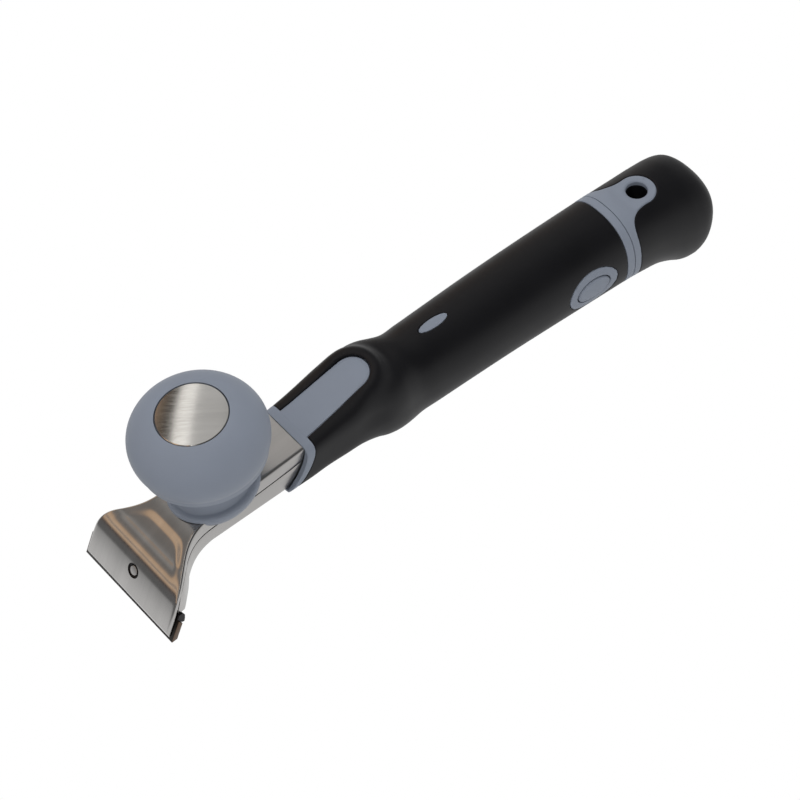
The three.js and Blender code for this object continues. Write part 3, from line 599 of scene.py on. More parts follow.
def shaded(tree, base, share, value):
    low = [part * (1 - share) for part in base]
    high = [min(part * (1 + share), 1) for part in base]
    return blend_colours(tree, spread(tree, value, 0, 1), low, high)


def bump(tree, height, depth_mm):
    return node_in(tree, "ShaderNodeBump", {"Height": height, "Strength": 1.0, "Distance": depth_mm * MM})


def along(tree, axis, start, end, low, high):
    """A value that changes between two places along an axis, the same on both sides where the start is above nought."""
    value = node_in(tree, "ShaderNodeSeparateXYZ", {"Vector": object_place(tree)}).outputs[axis]
    if start > 0:
        value = maths(tree, "ABSOLUTE", value)
    return ranged(tree, value, start, end, low, high)


def brushed_metal(tree, base, turn_by, stretch, roughness, depth, tint=None, satin=None):
    """What a metal puts into its shader."""
    lines = use_group(tree, brush_group(), Turn=turn_by, Stretch=stretch, Fineness=2200.0)
    marks = use_group(tree, scuff_group(), Fineness=420.0, Rarity=0.66)
    tone = shaded(tree, base, 0.07, lines["Streak"])
    if tint:
        axis, start, end, colour_there = tint
        tone = blend_colours(tree, along(tree, axis, start, end, 0, 1), tone, colour_there)
    rough = spread(tree, lines["Height"], *roughness)
    if satin:
        rough = maths(tree, "ADD", rough, along(tree, *satin[:3], 0, satin[3]))
    dull = [part * 0.55 for part in base]
    return {"Base Color": blend_colours(tree, maths(tree, "MULTIPLY", marks["Mask"], 0.35), tone, dull),
            "Roughness": rough, "Metallic": 1.0, "Normal": bump(tree, lines["Height"], depth)}


def moulded(tree, base, roughness, fineness, depth, share, specular=0.5, sheen=0.0):
    """What a moulding puts into its shader."""
    grain = use_group(tree, grain_group(), Fineness=fineness, Patches=38.0)
    marks = use_group(tree, scuff_group(), Fineness=300.0, Rarity=0.68)
    pale = [part + (0.5 - part) * 0.25 for part in base]
    tone = shaded(tree, base, share, grain["Mask"])
    return {"Base Color": blend_colours(tree, maths(tree, "MULTIPLY", marks["Mask"], 0.12), tone, pale),
            "Roughness": spread(tree, grain["Mask"], *roughness), "Specular IOR Level": specular,
            "Sheen Weight": sheen, "Normal": bump(tree, grain["Height"], depth)}


def finish_for(name):
    """The material of one finish, made when it is first asked for."""
    if name in bpy.data.materials:
        return bpy.data.materials[name]
    tones, still, round_axis = settings("finish"), (0, 0, 0), (1.0, 1.0, 0.1)
    metals = {
        "Plated steel": (tones.steel, still, (0.04, 1.0, 0.04), (0.12, 0.19), 0.0022, None,
                         ("X", -0.106, -0.09, 0.16)),
        "Brushed disc": (tones.disc, (0, 0, radians(39)), (0.05, 1.0, 1.0), (0.07, 0.15), 0.006),
        "Turned steel": (tones.steel, still, round_axis, (0.26, 0.38), 0.003),
        "Blackened steel": ((0.035, 0.034, 0.036), still, (1.0, 0.2, 1.0), (0.38, 0.52), 0.004),
        # The blade's faces are near black as painted shade for the shadowed top face of the blade; only the ends along
        # Y turn to the brown carbide colour
        "Ground carbide": ((0.03, 0.027, 0.025), still, (1.0, 0.04, 1.0), (0.28, 0.42), 0.004,
                           ("Y", 0.02475, 0.02492, tones.carbide)),
        "Insert brass": ((0.62, 0.44, 0.18), still, round_axis, (0.28, 0.4), 0.003),
    }
    mouldings = {
        "Grey moulding": (tones.grey, (0.46, 0.56), 2600.0, 0.010, 0.035, 0.45),
        "Knob moulding": (tones.grey, (0.50, 0.60), 2200.0, 0.012, 0.03, 0.42, 0.06),
        "Black soft skin": (tones.black, (0.42, 0.52), 1900.0, 0.012, 0.12, 0.28),
        "Black moulding": ((0.02, 0.02, 0.022), (0.35, 0.45), 2400.0, 0.008, 0.1),
    }
    material = bpy.data.materials.new(name)
    material.use_nodes = True
    tree = material.node_tree
    inputs = brushed_metal(tree, *metals[name]) if name in metals else moulded(tree, *mouldings[name])
    set_inputs(tree, tree.nodes["Principled BSDF"], inputs)
    return material


# Head surfaces
def jaw_point(up, out):
    """A point of the jaw's own frame in the side view of the head."""
    return np.array((up * JAW_COS - out * JAW_SIN,
                     up * JAW_SIN + out * JAW_COS))


FLARE_LINE = bezier(FLARE, 96)


def plan_half(x):
    """Half-width of the head in plan, narrower in the tang."""
    return read(FLARE_LINE, x) - TANG_STEP * np.clip((x - STEM_END) / TANG_STEP, 0, 1)


def seam_line():
    return bezier([(STEM_START, SEAM_HEIGHT), *SEAM_BENDS, jaw_point(SEAM_UP, SEAT)], 60)[::-1]


def head_profile(jaw_face):
    """Side view of the head's outer face from the lip to the end of the tang, with its normals."""
    rise = tan(SADDLE_SLOPE)
    outer = jaw_point(JAW_LENGTH, jaw_face)
    tangent = JAW_BEND * tan((JAW_SLOPE - SADDLE_SLOPE) / 2)
    after = outer + tangent * np.array((cos(SADDLE_SLOPE), sin(SADDLE_SLOPE)))
    run = STEM_START - outer[0]
    before = jaw_point(JAW_LENGTH - tangent, jaw_face)
    lip = jaw_point(LIP_SETBACK, jaw_face)
    jaw_places = np.concatenate([[0, 0.02, 0.05], np.linspace(0.1, 1, 14)])
    stretches = [
        lip + (before - lip) * jaw_places[:, None],
        bezier([before, outer, after], 22)[1:],
        bezier([after, outer + run * SADDLE_DIP * np.array((1, rise)),
                (STEM_START - run * SADDLE_CREST, STEM_TOP), (STEM_START, STEM_TOP)], 46)[1:],
        np.column_stack([np.linspace(STEM_START + 2, STEM_END, 16), np.full(16, STEM_TOP)]),
        [(STEM_END + TANG_STEP, STEM_TOP - TANG_STEP), (TANG_END - 0.3, STEM_TOP - TANG_STEP),
         (TANG_END, STEM_TOP - TANG_STEP)],
    ]
    line = np.vstack(stretches)
    run_along = np.gradient(line, axis=0)
    normals = np.column_stack([-run_along[:, 1], run_along[:, 0]])
    normals /= np.linalg.norm(normals, axis=1)[:, None]
    normals[line[:, 0] > STEM_START] = (0, 1)
    normals[line[:, 0] < before[0]] = (-JAW_SIN, JAW_COS)
    return line, normals


def depth_to_seam(line, normals, sheet):
    """How far the side wall of the upper shell reaches down from each station of its face."""
    seam = seam_line()
    depths = np.arange(sheet, 8, 0.01)
    reach = np.full(len(line), sheet)
    for index, (point, normal) in enumerate(zip(line, normals)):
        walk = point - depths[:, None] * normal
        out = -walk[:, 0] * JAW_SIN + walk[:, 1] * JAW_COS
        over_seam = walk[:, 1] <= read(seam, walk[:, 0])
        below = np.where(walk[:, 0] < seam[0, 0], out <= SEAT, over_seam)
        reach[index] = depths[np.argmax(below)] if below.any() else depths[-1]
    reach[line[:, 0] > STEM_END] = STEM_TOP - TANG_STEP - SEAM_HEIGHT
    return reach


def saddle_dish(x, y):
    """How deep the saddle is pressed in: a shallow tray with rounded back corners, fading into the bend."""
    side, back = (plan_half(x) - DISH_INSET - y) / DISH_CORNER, (DISH_END - x) / DISH_CORNER
    inside = -DISH_CORNER * np.logaddexp(-side, -back)
    return DISH_DEPTH * ease(inside / DISH_WALL) * ease((x - DISH_START) / (DISH_FULL - DISH_START))


def both_sides(half):
    """A ring from its left half, with the points on the middle line taken once."""
    return half + [(x, -y, z) for x, y, z in half[::-1] if y > 1e-9]


def upper_shell_mesh():
    sheet, fold, edge = sizes("head", "sheet", "fold", "edge")
    line, normals = head_profile(SEAT + sheet)
    reach = np.maximum(depth_to_seam(line, normals, sheet), sheet + 0.01)
    travelled = np.concatenate([[0], np.cumsum(np.linalg.norm(np.diff(line, axis=0), axis=1))])
    drawn_in = rounded_edge(np.minimum(travelled, travelled[-1] - travelled), edge)
    rings = []
    for point, normal, deep, shrink in zip(line, normals, reach, drawn_in):
        inner = max(deep - edge, sheet)
        # Rows are (share across or None, inset from the side, depth)
        rows = [(share, fold, shrink) for share in np.linspace(0, 1, 27)[:-1]]
        rows += [(None, fold * across + shrink, fold * down + shrink) for across, down in QUARTER]
        rows += [(None, shrink, fold + (deep - edge - fold) * share) for share in (0.25, 0.5, 0.75, 1)]
        rows += [(None, 0.3 * edge + shrink, deep - 0.3 * edge), (None, edge + shrink, deep - shrink),
                 (None, sheet - edge, deep - shrink), (None, sheet - shrink, inner),
                 (None, sheet - shrink, sheet + (inner - sheet) * 0.3), (None, sheet + 0.5, sheet - shrink)]
        rows += [(share, sheet + 0.6, sheet - shrink) for share in (0.8, 0.4, 0.0)]
        half_ring = []
        for share, inset, depth in rows:
            x, z = point - normal * depth
            y = (plan_half(x) - inset) * (1 if share is None else share)
            half_ring.append((x, y, z - (saddle_dish(x, y) if depth < sheet / 2 else 0)))
        rings.append(both_sides(half_ring))
    points, faces = loft(rings)
    return ground_lip(points, sheet), faces


def ground_lip(points, sheet):
    """Draws the jaw's outer face back at the lip, so that the lip is cut at a slant."""
    up = points[:, 0] * JAW_COS + points[:, 2] * JAW_SIN
    out = points[:, 2] * JAW_COS - points[:, 0] * JAW_SIN
    outer = np.clip((out - SEAT - 0.1) / (sheet - 0.1), 0, 1)
    shift = LIP_SLANT * outer * np.clip((LIP_SETBACK + 4 - up) / 4, 0, 1)
    return points + shift[:, None] * (JAW_COS, 0, JAW_SIN)


def lower_shell_mesh():
    sheet, fold, edge = sizes("head", "sheet", "fold", "edge")
    foot = jaw_point(BLADE_HEIGHT + 0.7, 0)
    top = np.vstack([foot - (2, 3.3), foot, seam_line() + (SEAT * JAW_SIN, -SEAM_GAP),
                     (TANG_END, SEAM_HEIGHT - SEAM_GAP)])
    places = np.concatenate([np.linspace(4, 16.7, 28), [16.9], np.linspace(17.3, 36, 40),
                             np.linspace(38, STEM_LOWER_END, 14),
                             [STEM_LOWER_END + TANG_STEP, TANG_END - 0.3, TANG_END]])
    rings = []
    for x in places:
        high, half = read(top, x), plan_half(x) - SEAM_STEP
        low = min(4.0 if x < 16.8 else read(FLOOR_LINE, x), high - 2.5)
        inner, bottom = half - sheet, low + sheet
        half_ring = [(share * (half - fold), low) for share in np.linspace(0, 1, 9)[:-1]]
        half_ring += [(half - fold * across, low + fold * up) for across, up in QUARTER]
        half_ring += [(half, low + fold + (high - edge - low - fold) * share) for share in (0.33, 0.66, 1)]
        half_ring += [(half - 0.3 * edge, high - 0.3 * edge), (half - 0.8 * edge, high - 0.2 * edge),
                      (inner + 0.05, high - sheet * 0.9), (inner, high - sheet),
                      (inner, bottom + 0.3 + max(high - sheet - bottom - 0.3, 0) * 0.5),
                      (inner, bottom + 0.3), (inner - 0.3, bottom), (0.0, bottom)]
        rings.append(both_sides([(x, y, z) for y, z in half_ring]))
    return loft(rings)


# Handle surfaces
def dense_stations(table, start, end, blunt=False):
    """Smooth stations along the handle or the cap as place, top, underside, half-width, squareness."""
    rows = np.array(table, dtype=float)
    data = np.column_stack([
        start + rows[:, 0] * (end - start), AXIS + HANDLE_HEIGHT * rows[:, 1], AXIS - HANDLE_HEIGHT * rows[:, 2],
        HANDLE_WIDTH * rows[:, 3], rows[:, 4]])
    knots = np.concatenate([[0], np.cumsum(np.linalg.norm(np.diff(data[:, :4] * (1, 0.5, 0.5, 1), axis=0), axis=1))])
    slopes = np.gradient(data, knots, axis=0)
    if blunt:
        slopes[-1, 0] = 0
    places = np.linspace(0, knots[-1], int(ceil(knots[-1] / sizes("handle", "step")[0])) + 1)
    index = np.clip(np.searchsorted(knots, places, side="right") - 1, 0, len(knots) - 2)
    span = (knots[index + 1] - knots[index])[:, None]
    t = ((places - knots[index])[:, None]) / span
    smooth = ((1 + 2 * t) * (1 - t) ** 2 * data[index] + t * (1 - t) ** 2 * span * slopes[index]
              + t * t * (3 - 2 * t) * data[index + 1] + t * t * (t - 1) * span * slopes[index + 1])
    smooth[:, 2] = np.maximum(smooth[:, 2], 0)
    return smooth


def body_grid(stations, sides):
    """Rings of evenly spaced points round each station."""
    angles = np.linspace(0, 2 * pi, 1441)
    c, s = np.cos(angles), np.sin(angles)
    shares = np.arange(sides) / sides
    rings = []
    for x, top, floor, half, square in stations:
        power = 2 / square
        y = half * np.sign(c) * np.abs(c) ** power
        z = (top + floor) / 2 + (top - floor) / 2 * np.sign(s) * np.abs(s) ** power
        run = np.concatenate([[0], np.cumsum(np.hypot(np.diff(y), np.diff(z)))])
        run /= run[-1]
        rings.append(np.column_stack([np.full(sides, x), np.interp(shares, run, y), np.interp(shares, run, z)]))
    return np.array(rings)


def grid_normals(rings):
    across = np.roll(rings, -1, axis=1) - np.roll(rings, 1, axis=1)
    down = np.gradient(rings, axis=0)
    normals = np.cross(across, down)
    size = np.linalg.norm(normals, axis=2, keepdims=True)
    normals /= np.maximum(size, 1e-12)
    outward = rings - rings.mean(axis=1, keepdims=True)
    flip = np.sign((normals * outward).sum(axis=2).mean()) or 1
    return normals * flip


def outline_distance(points, outline):
    """Distance in a plane to a closed outline, negative inside."""
    outline = np.asarray(outline, dtype=float)
    best = np.full(len(points), np.inf)
    inside = np.zeros(len(points), dtype=bool)
    for a, b in zip(outline, np.roll(outline, -1, axis=0)):
        edge = b - a
        rel = points - a
        share = np.clip((rel @ edge) / max(edge @ edge, 1e-12), 0, 1)
        best = np.minimum(best, np.linalg.norm(rel - share[:, None] * edge, axis=1))
        crosses = (a[1] > points[:, 1]) != (b[1] > points[:, 1])
        if edge[1]:
            inside ^= crosses & (points[:, 0] < a[0] + (points[:, 1] - a[1]) * edge[0] / edge[1])
    return np.where(inside, -best, best)


def ellipse_line(x, y, long, wide, steps=72):
    angles = np.arange(steps) * 2 * pi / steps
    return np.column_stack([x + long / 2 * np.cos(angles), y + wide / 2 * np.sin(angles)])


def rim_line(shift):
    """The collar's rim in the side view of the head, as the outline of all that is ahead of it."""
    low, top = COLLAR_LOW + shift, COLLAR_TOP + shift
    bend = bezier([(low, COLLAR_FLOOR), (top - COLLAR_SWEEP[0], COLLAR_FLOOR + COLLAR_SWEEP[1]), (top, STEM_TOP)], 24)
    return np.vstack([[(-40, -60), (low, -60)], bend, [(top, 90), (-40, 90)]])


def in_head(points):
    """Side view places in the head's own frame."""
    c, s = cos(HEAD_PITCH), sin(HEAD_PITCH)
    return np.column_stack([points[:, 0] * c + points[:, 2] * s, points[:, 2] * c - points[:, 0] * s])


def pad_line():
    centre = PAD_END - PAD_HALVES[1]
    angles = np.linspace(-pi / 2, pi / 2, 33)
    arc = np.column_stack([centre + PAD_HALVES[1] * np.cos(angles), PAD_HALVES[1] * np.sin(angles)])
    return np.vstack([[(HANDLE_START - 5, -PAD_HALVES[0])], arc, [(HANDLE_START - 5, PAD_HALVES[0])]])


def tongue_line():
    root = CAP_START + CAP_RING
    reach, width = EYELET_RADIUS * cos(EYELET_NECK), EYELET_RADIUS * sin(EYELET_NECK)
    neck = bezier([(root, -TONGUE_HALF), (root, -width), (HOLE_PLACE - reach, -width)], 16)
    angles = np.linspace(pi + EYELET_NECK, 3 * pi - EYELET_NECK, 60)
    ring = np.column_stack([HOLE_PLACE + EYELET_RADIUS * np.cos(angles), EYELET_RADIUS * np.sin(angles)])
    back = neck[::-1] * (1, -1)
    return np.vstack([[(CAP_START - 5, -TONGUE_HALF)], neck, ring[1:-1], back, [(CAP_START - 5, TONGUE_HALF)]])


def top_only(distance, points):
    return np.where(points[:, 2] > AXIS, distance, 50.0)


def pad_distance(points):
    return top_only(outline_distance(points[:, :2], pad_line()), points)


def handle_windows(points):
    """Distance to the nearest grey window of the handle, and to the collar band alone."""
    side_view, plan, side = in_head(points), points[:, :2], points[:, [0, 2]]
    collar = outline_distance(side_view, rim_line(COLLAR_BAND))
    marker = top_only(outline_distance(plan, ellipse_line(MARKER[0], 0, *MARKER[1:])), points)
    surround = outline_distance(side, ellipse_line(BUTTON_PLACE, AXIS, *SURROUND_SIZE))
    ring = HANDLE_SEAM - END_RING - points[:, 0]
    return np.minimum.reduce([collar, pad_distance(points), marker, surround, ring]), collar


def pad_rim(points):
    """How far the soft skin swells round the end of the thumb pad, with a crease behind the swelling."""
    away = pad_distance(points)
    crest, valley = (rise * np.exp(-((away - place) / width) ** 2) for rise, place, width in (RIM_SWELL, RIM_CREASE))
    return (crest - valley) * ease((points[:, 0] - PAD_END + 17) / 10) * ease((points[:, 2] - AXIS) / 8)


def cap_windows(points):
    plan = points[:, :2]
    ring = points[:, 0] - (CAP_START + CAP_RING)
    tongue = top_only(outline_distance(plan, tongue_line()), points)
    hole = np.hypot(plan[:, 0] - HOLE_PLACE, plan[:, 1])
    lower = np.where(points[:, 2] < AXIS, hole - LOWER_EYELET, 50.0)
    return np.minimum.reduce([ring, tongue, lower]), hole


def split_faces(data, faces, column, level):
    """Splits the faces along the line where one column of the point data has the level."""
    side = data[:, column] - level
    side[np.abs(side) < 1e-6] = 0
    made, rows, out = {}, [], []
    count = len(data)

    def crossing(a, b):
        key = (a, b) if a < b else (b, a)
        if key not in made:
            share = side[key[0]] / (side[key[0]] - side[key[1]])
            row = data[key[0]] * (1 - share) + data[key[1]] * share
            row[column] = level
            made[key] = count + len(rows)
            rows.append(row)
        return made[key]

    for face in faces:
        signs = [side[index] for index in face]
        if min(signs) >= 0 or max(signs) <= 0:
            out.append(face)
            continue
        over, under = [], []
        for index, sign, after, after_sign in zip(face, signs, face[1:] + face[:1], signs[1:] + signs[:1]):
            if sign >= 0:
                over.append(index)
            if sign <= 0:
                under.append(index)
            if sign * after_sign < 0:
                point = crossing(index, after)
                over.append(point)
                under.append(point)
        out.extend(list(part) for part in (over, under) if len(part) > 2)
    return (np.vstack([data, rows]) if rows else data), out


def rounded_edge(distance, radius):
    """How far a surface drops at a distance from its rounded edge."""
    near = np.clip(radius - distance, 0, radius)
    return radius - np.sqrt(np.maximum(radius**2 - near**2, 0))


def closed_shell(data, faces, keep, rise, thickness):
    """The kept faces raised along their normals, with walls down to an inner face."""
    kept = [face for face, wanted in zip(faces, keep) if wanted]
    used = sorted({index for face in kept for index in face})
    order = {index: place for place, index in enumerate(used)}
    base, normal = data[used, :3], data[used, 3:6]
    outer = base + normal * rise[used][:, None]
    inner = base - normal * thickness[used][:, None]
    count = len(used)
    top = [[order[index] for index in face] for face in kept]
    edges = dict.fromkeys(edge for face in top for edge in zip(face, face[1:] + face[:1]))
    walls = [(b, a, a + count, b + count) for a, b in edges if (b, a) not in edges]
    bottom = [[index + count for index in face[::-1]] for face in top]
    return np.vstack([outer, inner]), top + bottom + walls


def body_data(stations, pole=False):
    """The surface through the stations as rows of a point and its normal, and its faces."""
    sides = 4 * int(round(pi * HANDLE_WIDTH / sizes("handle", "step")[0] / 4))
    rings = body_grid(stations, sides)
    normals = grid_normals(rings)
    points, faces = loft(rings, caps=False)
    faces = [list(face) for face in faces]
    data = np.column_stack([points, normals.reshape(-1, 3)])
    if pole:
        data = np.vstack([data, [*rings[-1].mean(axis=0), 1, 0, 0]])
        first = (len(rings) - 1) * sides
        faces.extend([first + side, first + (side + 1) % sides, len(data) - 1] for side in range(sides))
    return data, faces


def clad(name, data, faces, field, radius, sink, thickness):
    """One closed skin over the part of a surface where the field is positive."""
    work = np.column_stack([data, field, sink])
    for share in EDGE_SHARES:
        work, faces = split_faces(work, faces, 6, share * radius)
    keep = [min(work[index, 6] for index in face) >= -1e-6 for face in faces]
    rise = -rounded_edge(work[:, 6], radius) - work[:, 7]
    deep = np.full(len(work), thickness) + work[:, 7]
    points, shell = closed_shell(work, faces, keep, rise, deep)
    return add_piece(name, points, shell)


def side_face(stations, x, z, proud):
    """Half-width of the handle at a place in the side view, plus what stands proud."""
    top, floor, half, square = (np.interp(x, stations[:, 0], stations[:, column]) for column in range(1, 5))
    share = np.clip(np.abs(z - (top + floor) / 2) / ((top - floor) / 2), 0, 1)
    return half * (1 - share**square) ** (1 / square) + proud


# Operators, one for each piece or group of like pieces
class MakeHeadShells(bpy.types.Operator):
    """Press the upper and lower shells of the steel head"""
    bl_idname = "scraper.head_shells"
    bl_label = "Head shells"

    def execute(self, context):
        steel = finish_for("Plated steel")
        bore = 2 * (BUSH_RADIUS + THREAD_GAP)
        upper = solid("upper_shell_pressing", upper_shell_mesh(), HEAD_PLACE)
        cut(upper, solid("bush_hole", prism(ellipse_line(SCREW_PLACE, 0, bore, bore), -2, 5), JAW_PLACE))
        finish(upper, steel, "frame", ("upper_shell",))
        lower = solid("lower_shell_pressing", lower_shell_mesh(), HEAD_PLACE)
        mouth = [(-5, -5), (17, -5), *CHEEK_LINE, (-5, 9.37)]
        cut(lower, solid("mouth_cut", prism(mouth, -40, 40, "XZ"), HEAD_PLACE))
        finish(lower, steel, "frame", ("lower_shell",), angle=30)
        return {"FINISHED"}


class MakeBlade(bpy.types.Operator):
    """Grind the carbide blade and dress the plate that clamps it"""
    bl_idname = "scraper.blade"
    bl_label = "Blade and clamp plate"

    def execute(self, context):
        carbide, black = finish_for("Ground carbide"), finish_for("Blackened steel")
        outline = [(0, 0), (BLADE_HEIGHT, 0), (BLADE_HEIGHT - BLADE_GRIND, -BLADE_THICKNESS),
                   (BLADE_GRIND, -BLADE_THICKNESS)]
        blade = solid("carbide_blade", prism(outline, -BLADE_HALF, BLADE_HALF, "XZ"), JAW_PLACE)
        inner, outer = LUG_ENDS
        slices = ((-outer, LUG), (-inner, LUG), (-inner, HEEL), (inner, HEEL), (inner, LUG), (outer, LUG))
        # The black heel is partly the clamp plate's end and partly painted shade: a dark block filling the shadowed gap
        # over the blade's back edge
        heel = solid("clamp_heel", loft([[(up, y, out) for up, out in line] for y, line in slices]), JAW_PLACE)
        for piece, width in ((blade, 0.07), (heel, 0.08)):
            soft_edges(piece, width)
            freeze(piece)
        finish(blade, carbide, "blade", ("blade",), angle=30)
        finish(heel, black, "clamp", angle=30)
        for node, tone, edge in (("clamp_plate", black, 0.25), ("spare_blade_1", carbide, 0.07),
                                 ("spare_blade_2", carbide, 0.07)):
            dress(node, tone, edge)
        return {"FINISHED"}


class MakeClampScrew(bpy.types.Operator):
    """Turn the clamp screw with its thread and the bush in the jaw"""
    bl_idname = "scraper.clamp_screw"
    bl_label = "Clamp screw and bush"

    def execute(self, context):
        steel, dark = finish_for("Turned steel"), finish_for("Blackened steel")
        sheet, pitch = sizes("head", "sheet", "thread_pitch")
        face = SEAT + sheet
        top = -BLADE_THICKNESS - CLAMP_THICKNESS - 2 * SEAT
        foot, end, shank = top - SCREW_HEAD_HEIGHT, face - 0.12, SCREW_RADIUS - 0.25
        profile = soften([(0, foot), (SCREW_HEAD_RADIUS, foot), (SCREW_HEAD_RADIUS, top), (shank, top),
                          (shank, end), (0, end)], 0.2)
        screw = turn("clamp_screw_turned", profile, steel, sides=64)
        face_outwards(screw.data)
        corners = 2 * SOCKET_ACROSS / sqrt(3)
        socket = prism(ellipse_line(0, 0, corners, corners, 6), foot - 1, foot + SOCKET_DEPTH)
        cut(screw, solid("socket", socket, Matrix.Identity(4)))
        wind(screw, steel, SCREW_RADIUS - 0.27, pitch, 7, top + 0.5)
        screw.data.transform(SCREW_AXIS)
        finish(screw, steel, "screw", ("clamp_screw",))
        inner, deep = SCREW_RADIUS + THREAD_GAP, face - BUSH_DEPTH
        ring = soften([(inner, deep), (BUSH_RADIUS, deep), (BUSH_RADIUS, face - 0.3),
                       (BUSH_RADIUS - 0.2, face - 0.35), (inner, face - 0.6)], 0.12)
        bush = turn("jaw_bush", [*ring, ring[0]], dark, SCREW_AXIS, 72)
        finish(bush, dark, "frame", ("thread_bush",))
        return {"FINISHED"}


class MakeKnob(bpy.types.Operator):
    """Turn the palm knob: foot, dome with its lip, and brushed disc"""
    bl_idname = "scraper.knob"
    bl_label = "Palm knob"

    def execute(self, context):
        plastic, steel = finish_for("Knob moulding"), finish_for("Brushed disc")
        neck = STEM_TOP + NECK_HEIGHT
        base = self.foot(plastic, neck)
        xs = np.concatenate([[-5], FLARE_LINE[:, 0], [STEM_END]])
        plan = np.column_stack([xs, plan_half(xs) + SEAT])
        channel = prism(np.vstack([plan, plan[::-1] * (1, -1)]), 0, STEM_TOP + 0.02)
        cut(base, solid("stem_channel", channel, HEAD_PLACE))
        finish(base, plastic, "frame", ("knob_base",))

        top = STEM_TOP + KNOB_HEIGHT
        grip = turn("knob_dome", self.dome(neck + SEAT, top), plastic, KNOB_AXIS)
        finish(grip, plastic, "frame", ("knob_grip",), angle=50)
        crown = bezier([(DISC_RADIUS - 0.25, top - 0.02), (DISC_RADIUS / 2, top + 0.5), (0, top + 0.5)], 24)
        disc = [(0, top - DISC_THICKNESS), (DISC_RADIUS, top - DISC_THICKNESS), (DISC_RADIUS, top - 0.25), *crown]
        plate = turn("knob_plate", disc, steel, KNOB_AXIS)
        finish(plate, steel, "frame", ("knob_disc",), angle=35)
        return {"FINISHED"}

    def foot(self, plastic, neck):
        """The foot, oval at its flange and round at its neck, with a boss that meets the dome."""
        flange, wide, boss = STEM_TOP + FLANGE_HEIGHT, FLANGE_RADIUS, neck + SEAT - BOSS_GAP
        profile = [
            (0, SEAM_HEIGHT), (SKIRT_RADIUS - 0.4, SEAM_HEIGHT),
            *bezier([(SKIRT_RADIUS, SEAM_HEIGHT + 0.3), (wide, STEM_TOP - FLANGE_HEIGHT), (wide, STEM_TOP)], 12),
            *bezier([(wide, STEM_TOP + 0.4), (wide, flange), (wide - 2.2, flange + 0.1)], 10),
            *bezier([(wide - 2.4, flange + 0.15), (NECK_RADIUS + 0.9, flange + 1.2), (NECK_RADIUS, neck)], 20),
            (NECK_RADIUS - 0.8, neck), (NECK_RADIUS - 0.8, boss), (0, boss)]
        base = turn("knob_foot", profile, plastic)
        for vertex in base.data.vertices:
            share = np.clip((vertex.co.z / MM - flange) / (neck - flange), 0, 1)
            vertex.co.y *= FOOT_OVAL + (1 - FOOT_OVAL) * share
        base.data.transform(KNOB_AXIS)
        face_outwards(base.data)
        return base

    def dome(self, underside, top):
        """Outline of the dome: underside, flared lip, side and the recess of the disc."""
        rim, lip, flare, rise = sizes("knob", "rim", "lip", "flare", "lip_rise")
        edge, recess, floor = STEM_TOP + RIM_HEIGHT, DISC_RADIUS + SEAT, top - DISC_THICKNESS - SEAT
        inner, outer = rim - lip / 2, rim + flare
        side = bezier([(rim, edge), (rim * BULGE, edge + FULLNESS[0] * (top - edge)),
                       (recess + FULLNESS[1] * (rim - recess), edge + FULLNESS[2] * (top - edge)), (recess, top)], 60)
        side[:, 0] += flare * np.clip(1 - (side[:, 1] - edge) / rise, 0, 1)
        return [(0, underside),
                *bezier([(NECK_RADIUS, underside), (rim - 2 * lip, underside + lip), (inner, edge - lip)], 24),
                *bezier([(inner, edge - lip), (outer, edge - lip), (outer, edge - 0.1)], 8)[1:],
                *side, (recess - 0.02, top - 0.25), (recess, floor), (0, floor)]


class MakeKnobFixing(bpy.types.Operator):
    """Dress the screw under the stem and the fixings hidden in the stem and the knob"""
    bl_idname = "scraper.knob_fixing"
    bl_label = "Knob screw and hidden fixings"

    def execute(self, context):
        steel = finish_for("Turned steel")
        dress("knob_screw", steel, 0.2)
        for node in ("spacer_tube", "tang_pin_front", "tang_pin_rear"):
            dress(node, steel)
        dress("knob_insert", finish_for("Insert brass"))
        return {"FINISHED"}


class MakeHandle(bpy.types.Operator):
    """Mould the handle's soft skin and its grey faces"""
    bl_idname = "scraper.handle"
    bl_label = "Handle"

    def execute(self, context):
        grey, black = finish_for("Grey moulding"), finish_for("Black soft skin")
        gap, rounding, veneer, sink = sizes("handle", "gap", "rounding", "veneer", "pad_sink")
        data, faces = body_data(dense_stations(GRIP_STATIONS, HANDLE_START, HANDLE_SEAM))
        points = data[:, :3]
        window, collar = handle_windows(points)
        skin = clad("handle_skin", data, faces, window - gap, rounding, -pad_rim(points), GRIP_SKIN)
        finish(skin, black, "frame", ("handle_grip",), angle=60)
        button = outline_distance(data[:, [0, 2]], ellipse_line(BUTTON_PLACE, AXIS, *(
            size + 2 * SEAT for size in BUTTON_SIZE)))
        ahead = outline_distance(in_head(points), rim_line(0)) + 0.03
        field = np.minimum.reduce([-window - gap, button, ahead, HANDLE_SEAM + 0.02 - points[:, 0]])
        sunk = np.where((pad_distance(points) < 0.5) & (collar > -0.3), ease(collar + 0.2) * sink, 0)
        windows = clad("handle_grey_faces", data, faces, field, FACE_ROUNDING, sunk - 0.05, veneer)
        finish(windows, grey, "frame", angle=60)
        dress("handle_core", grey)
        return {"FINISHED"}


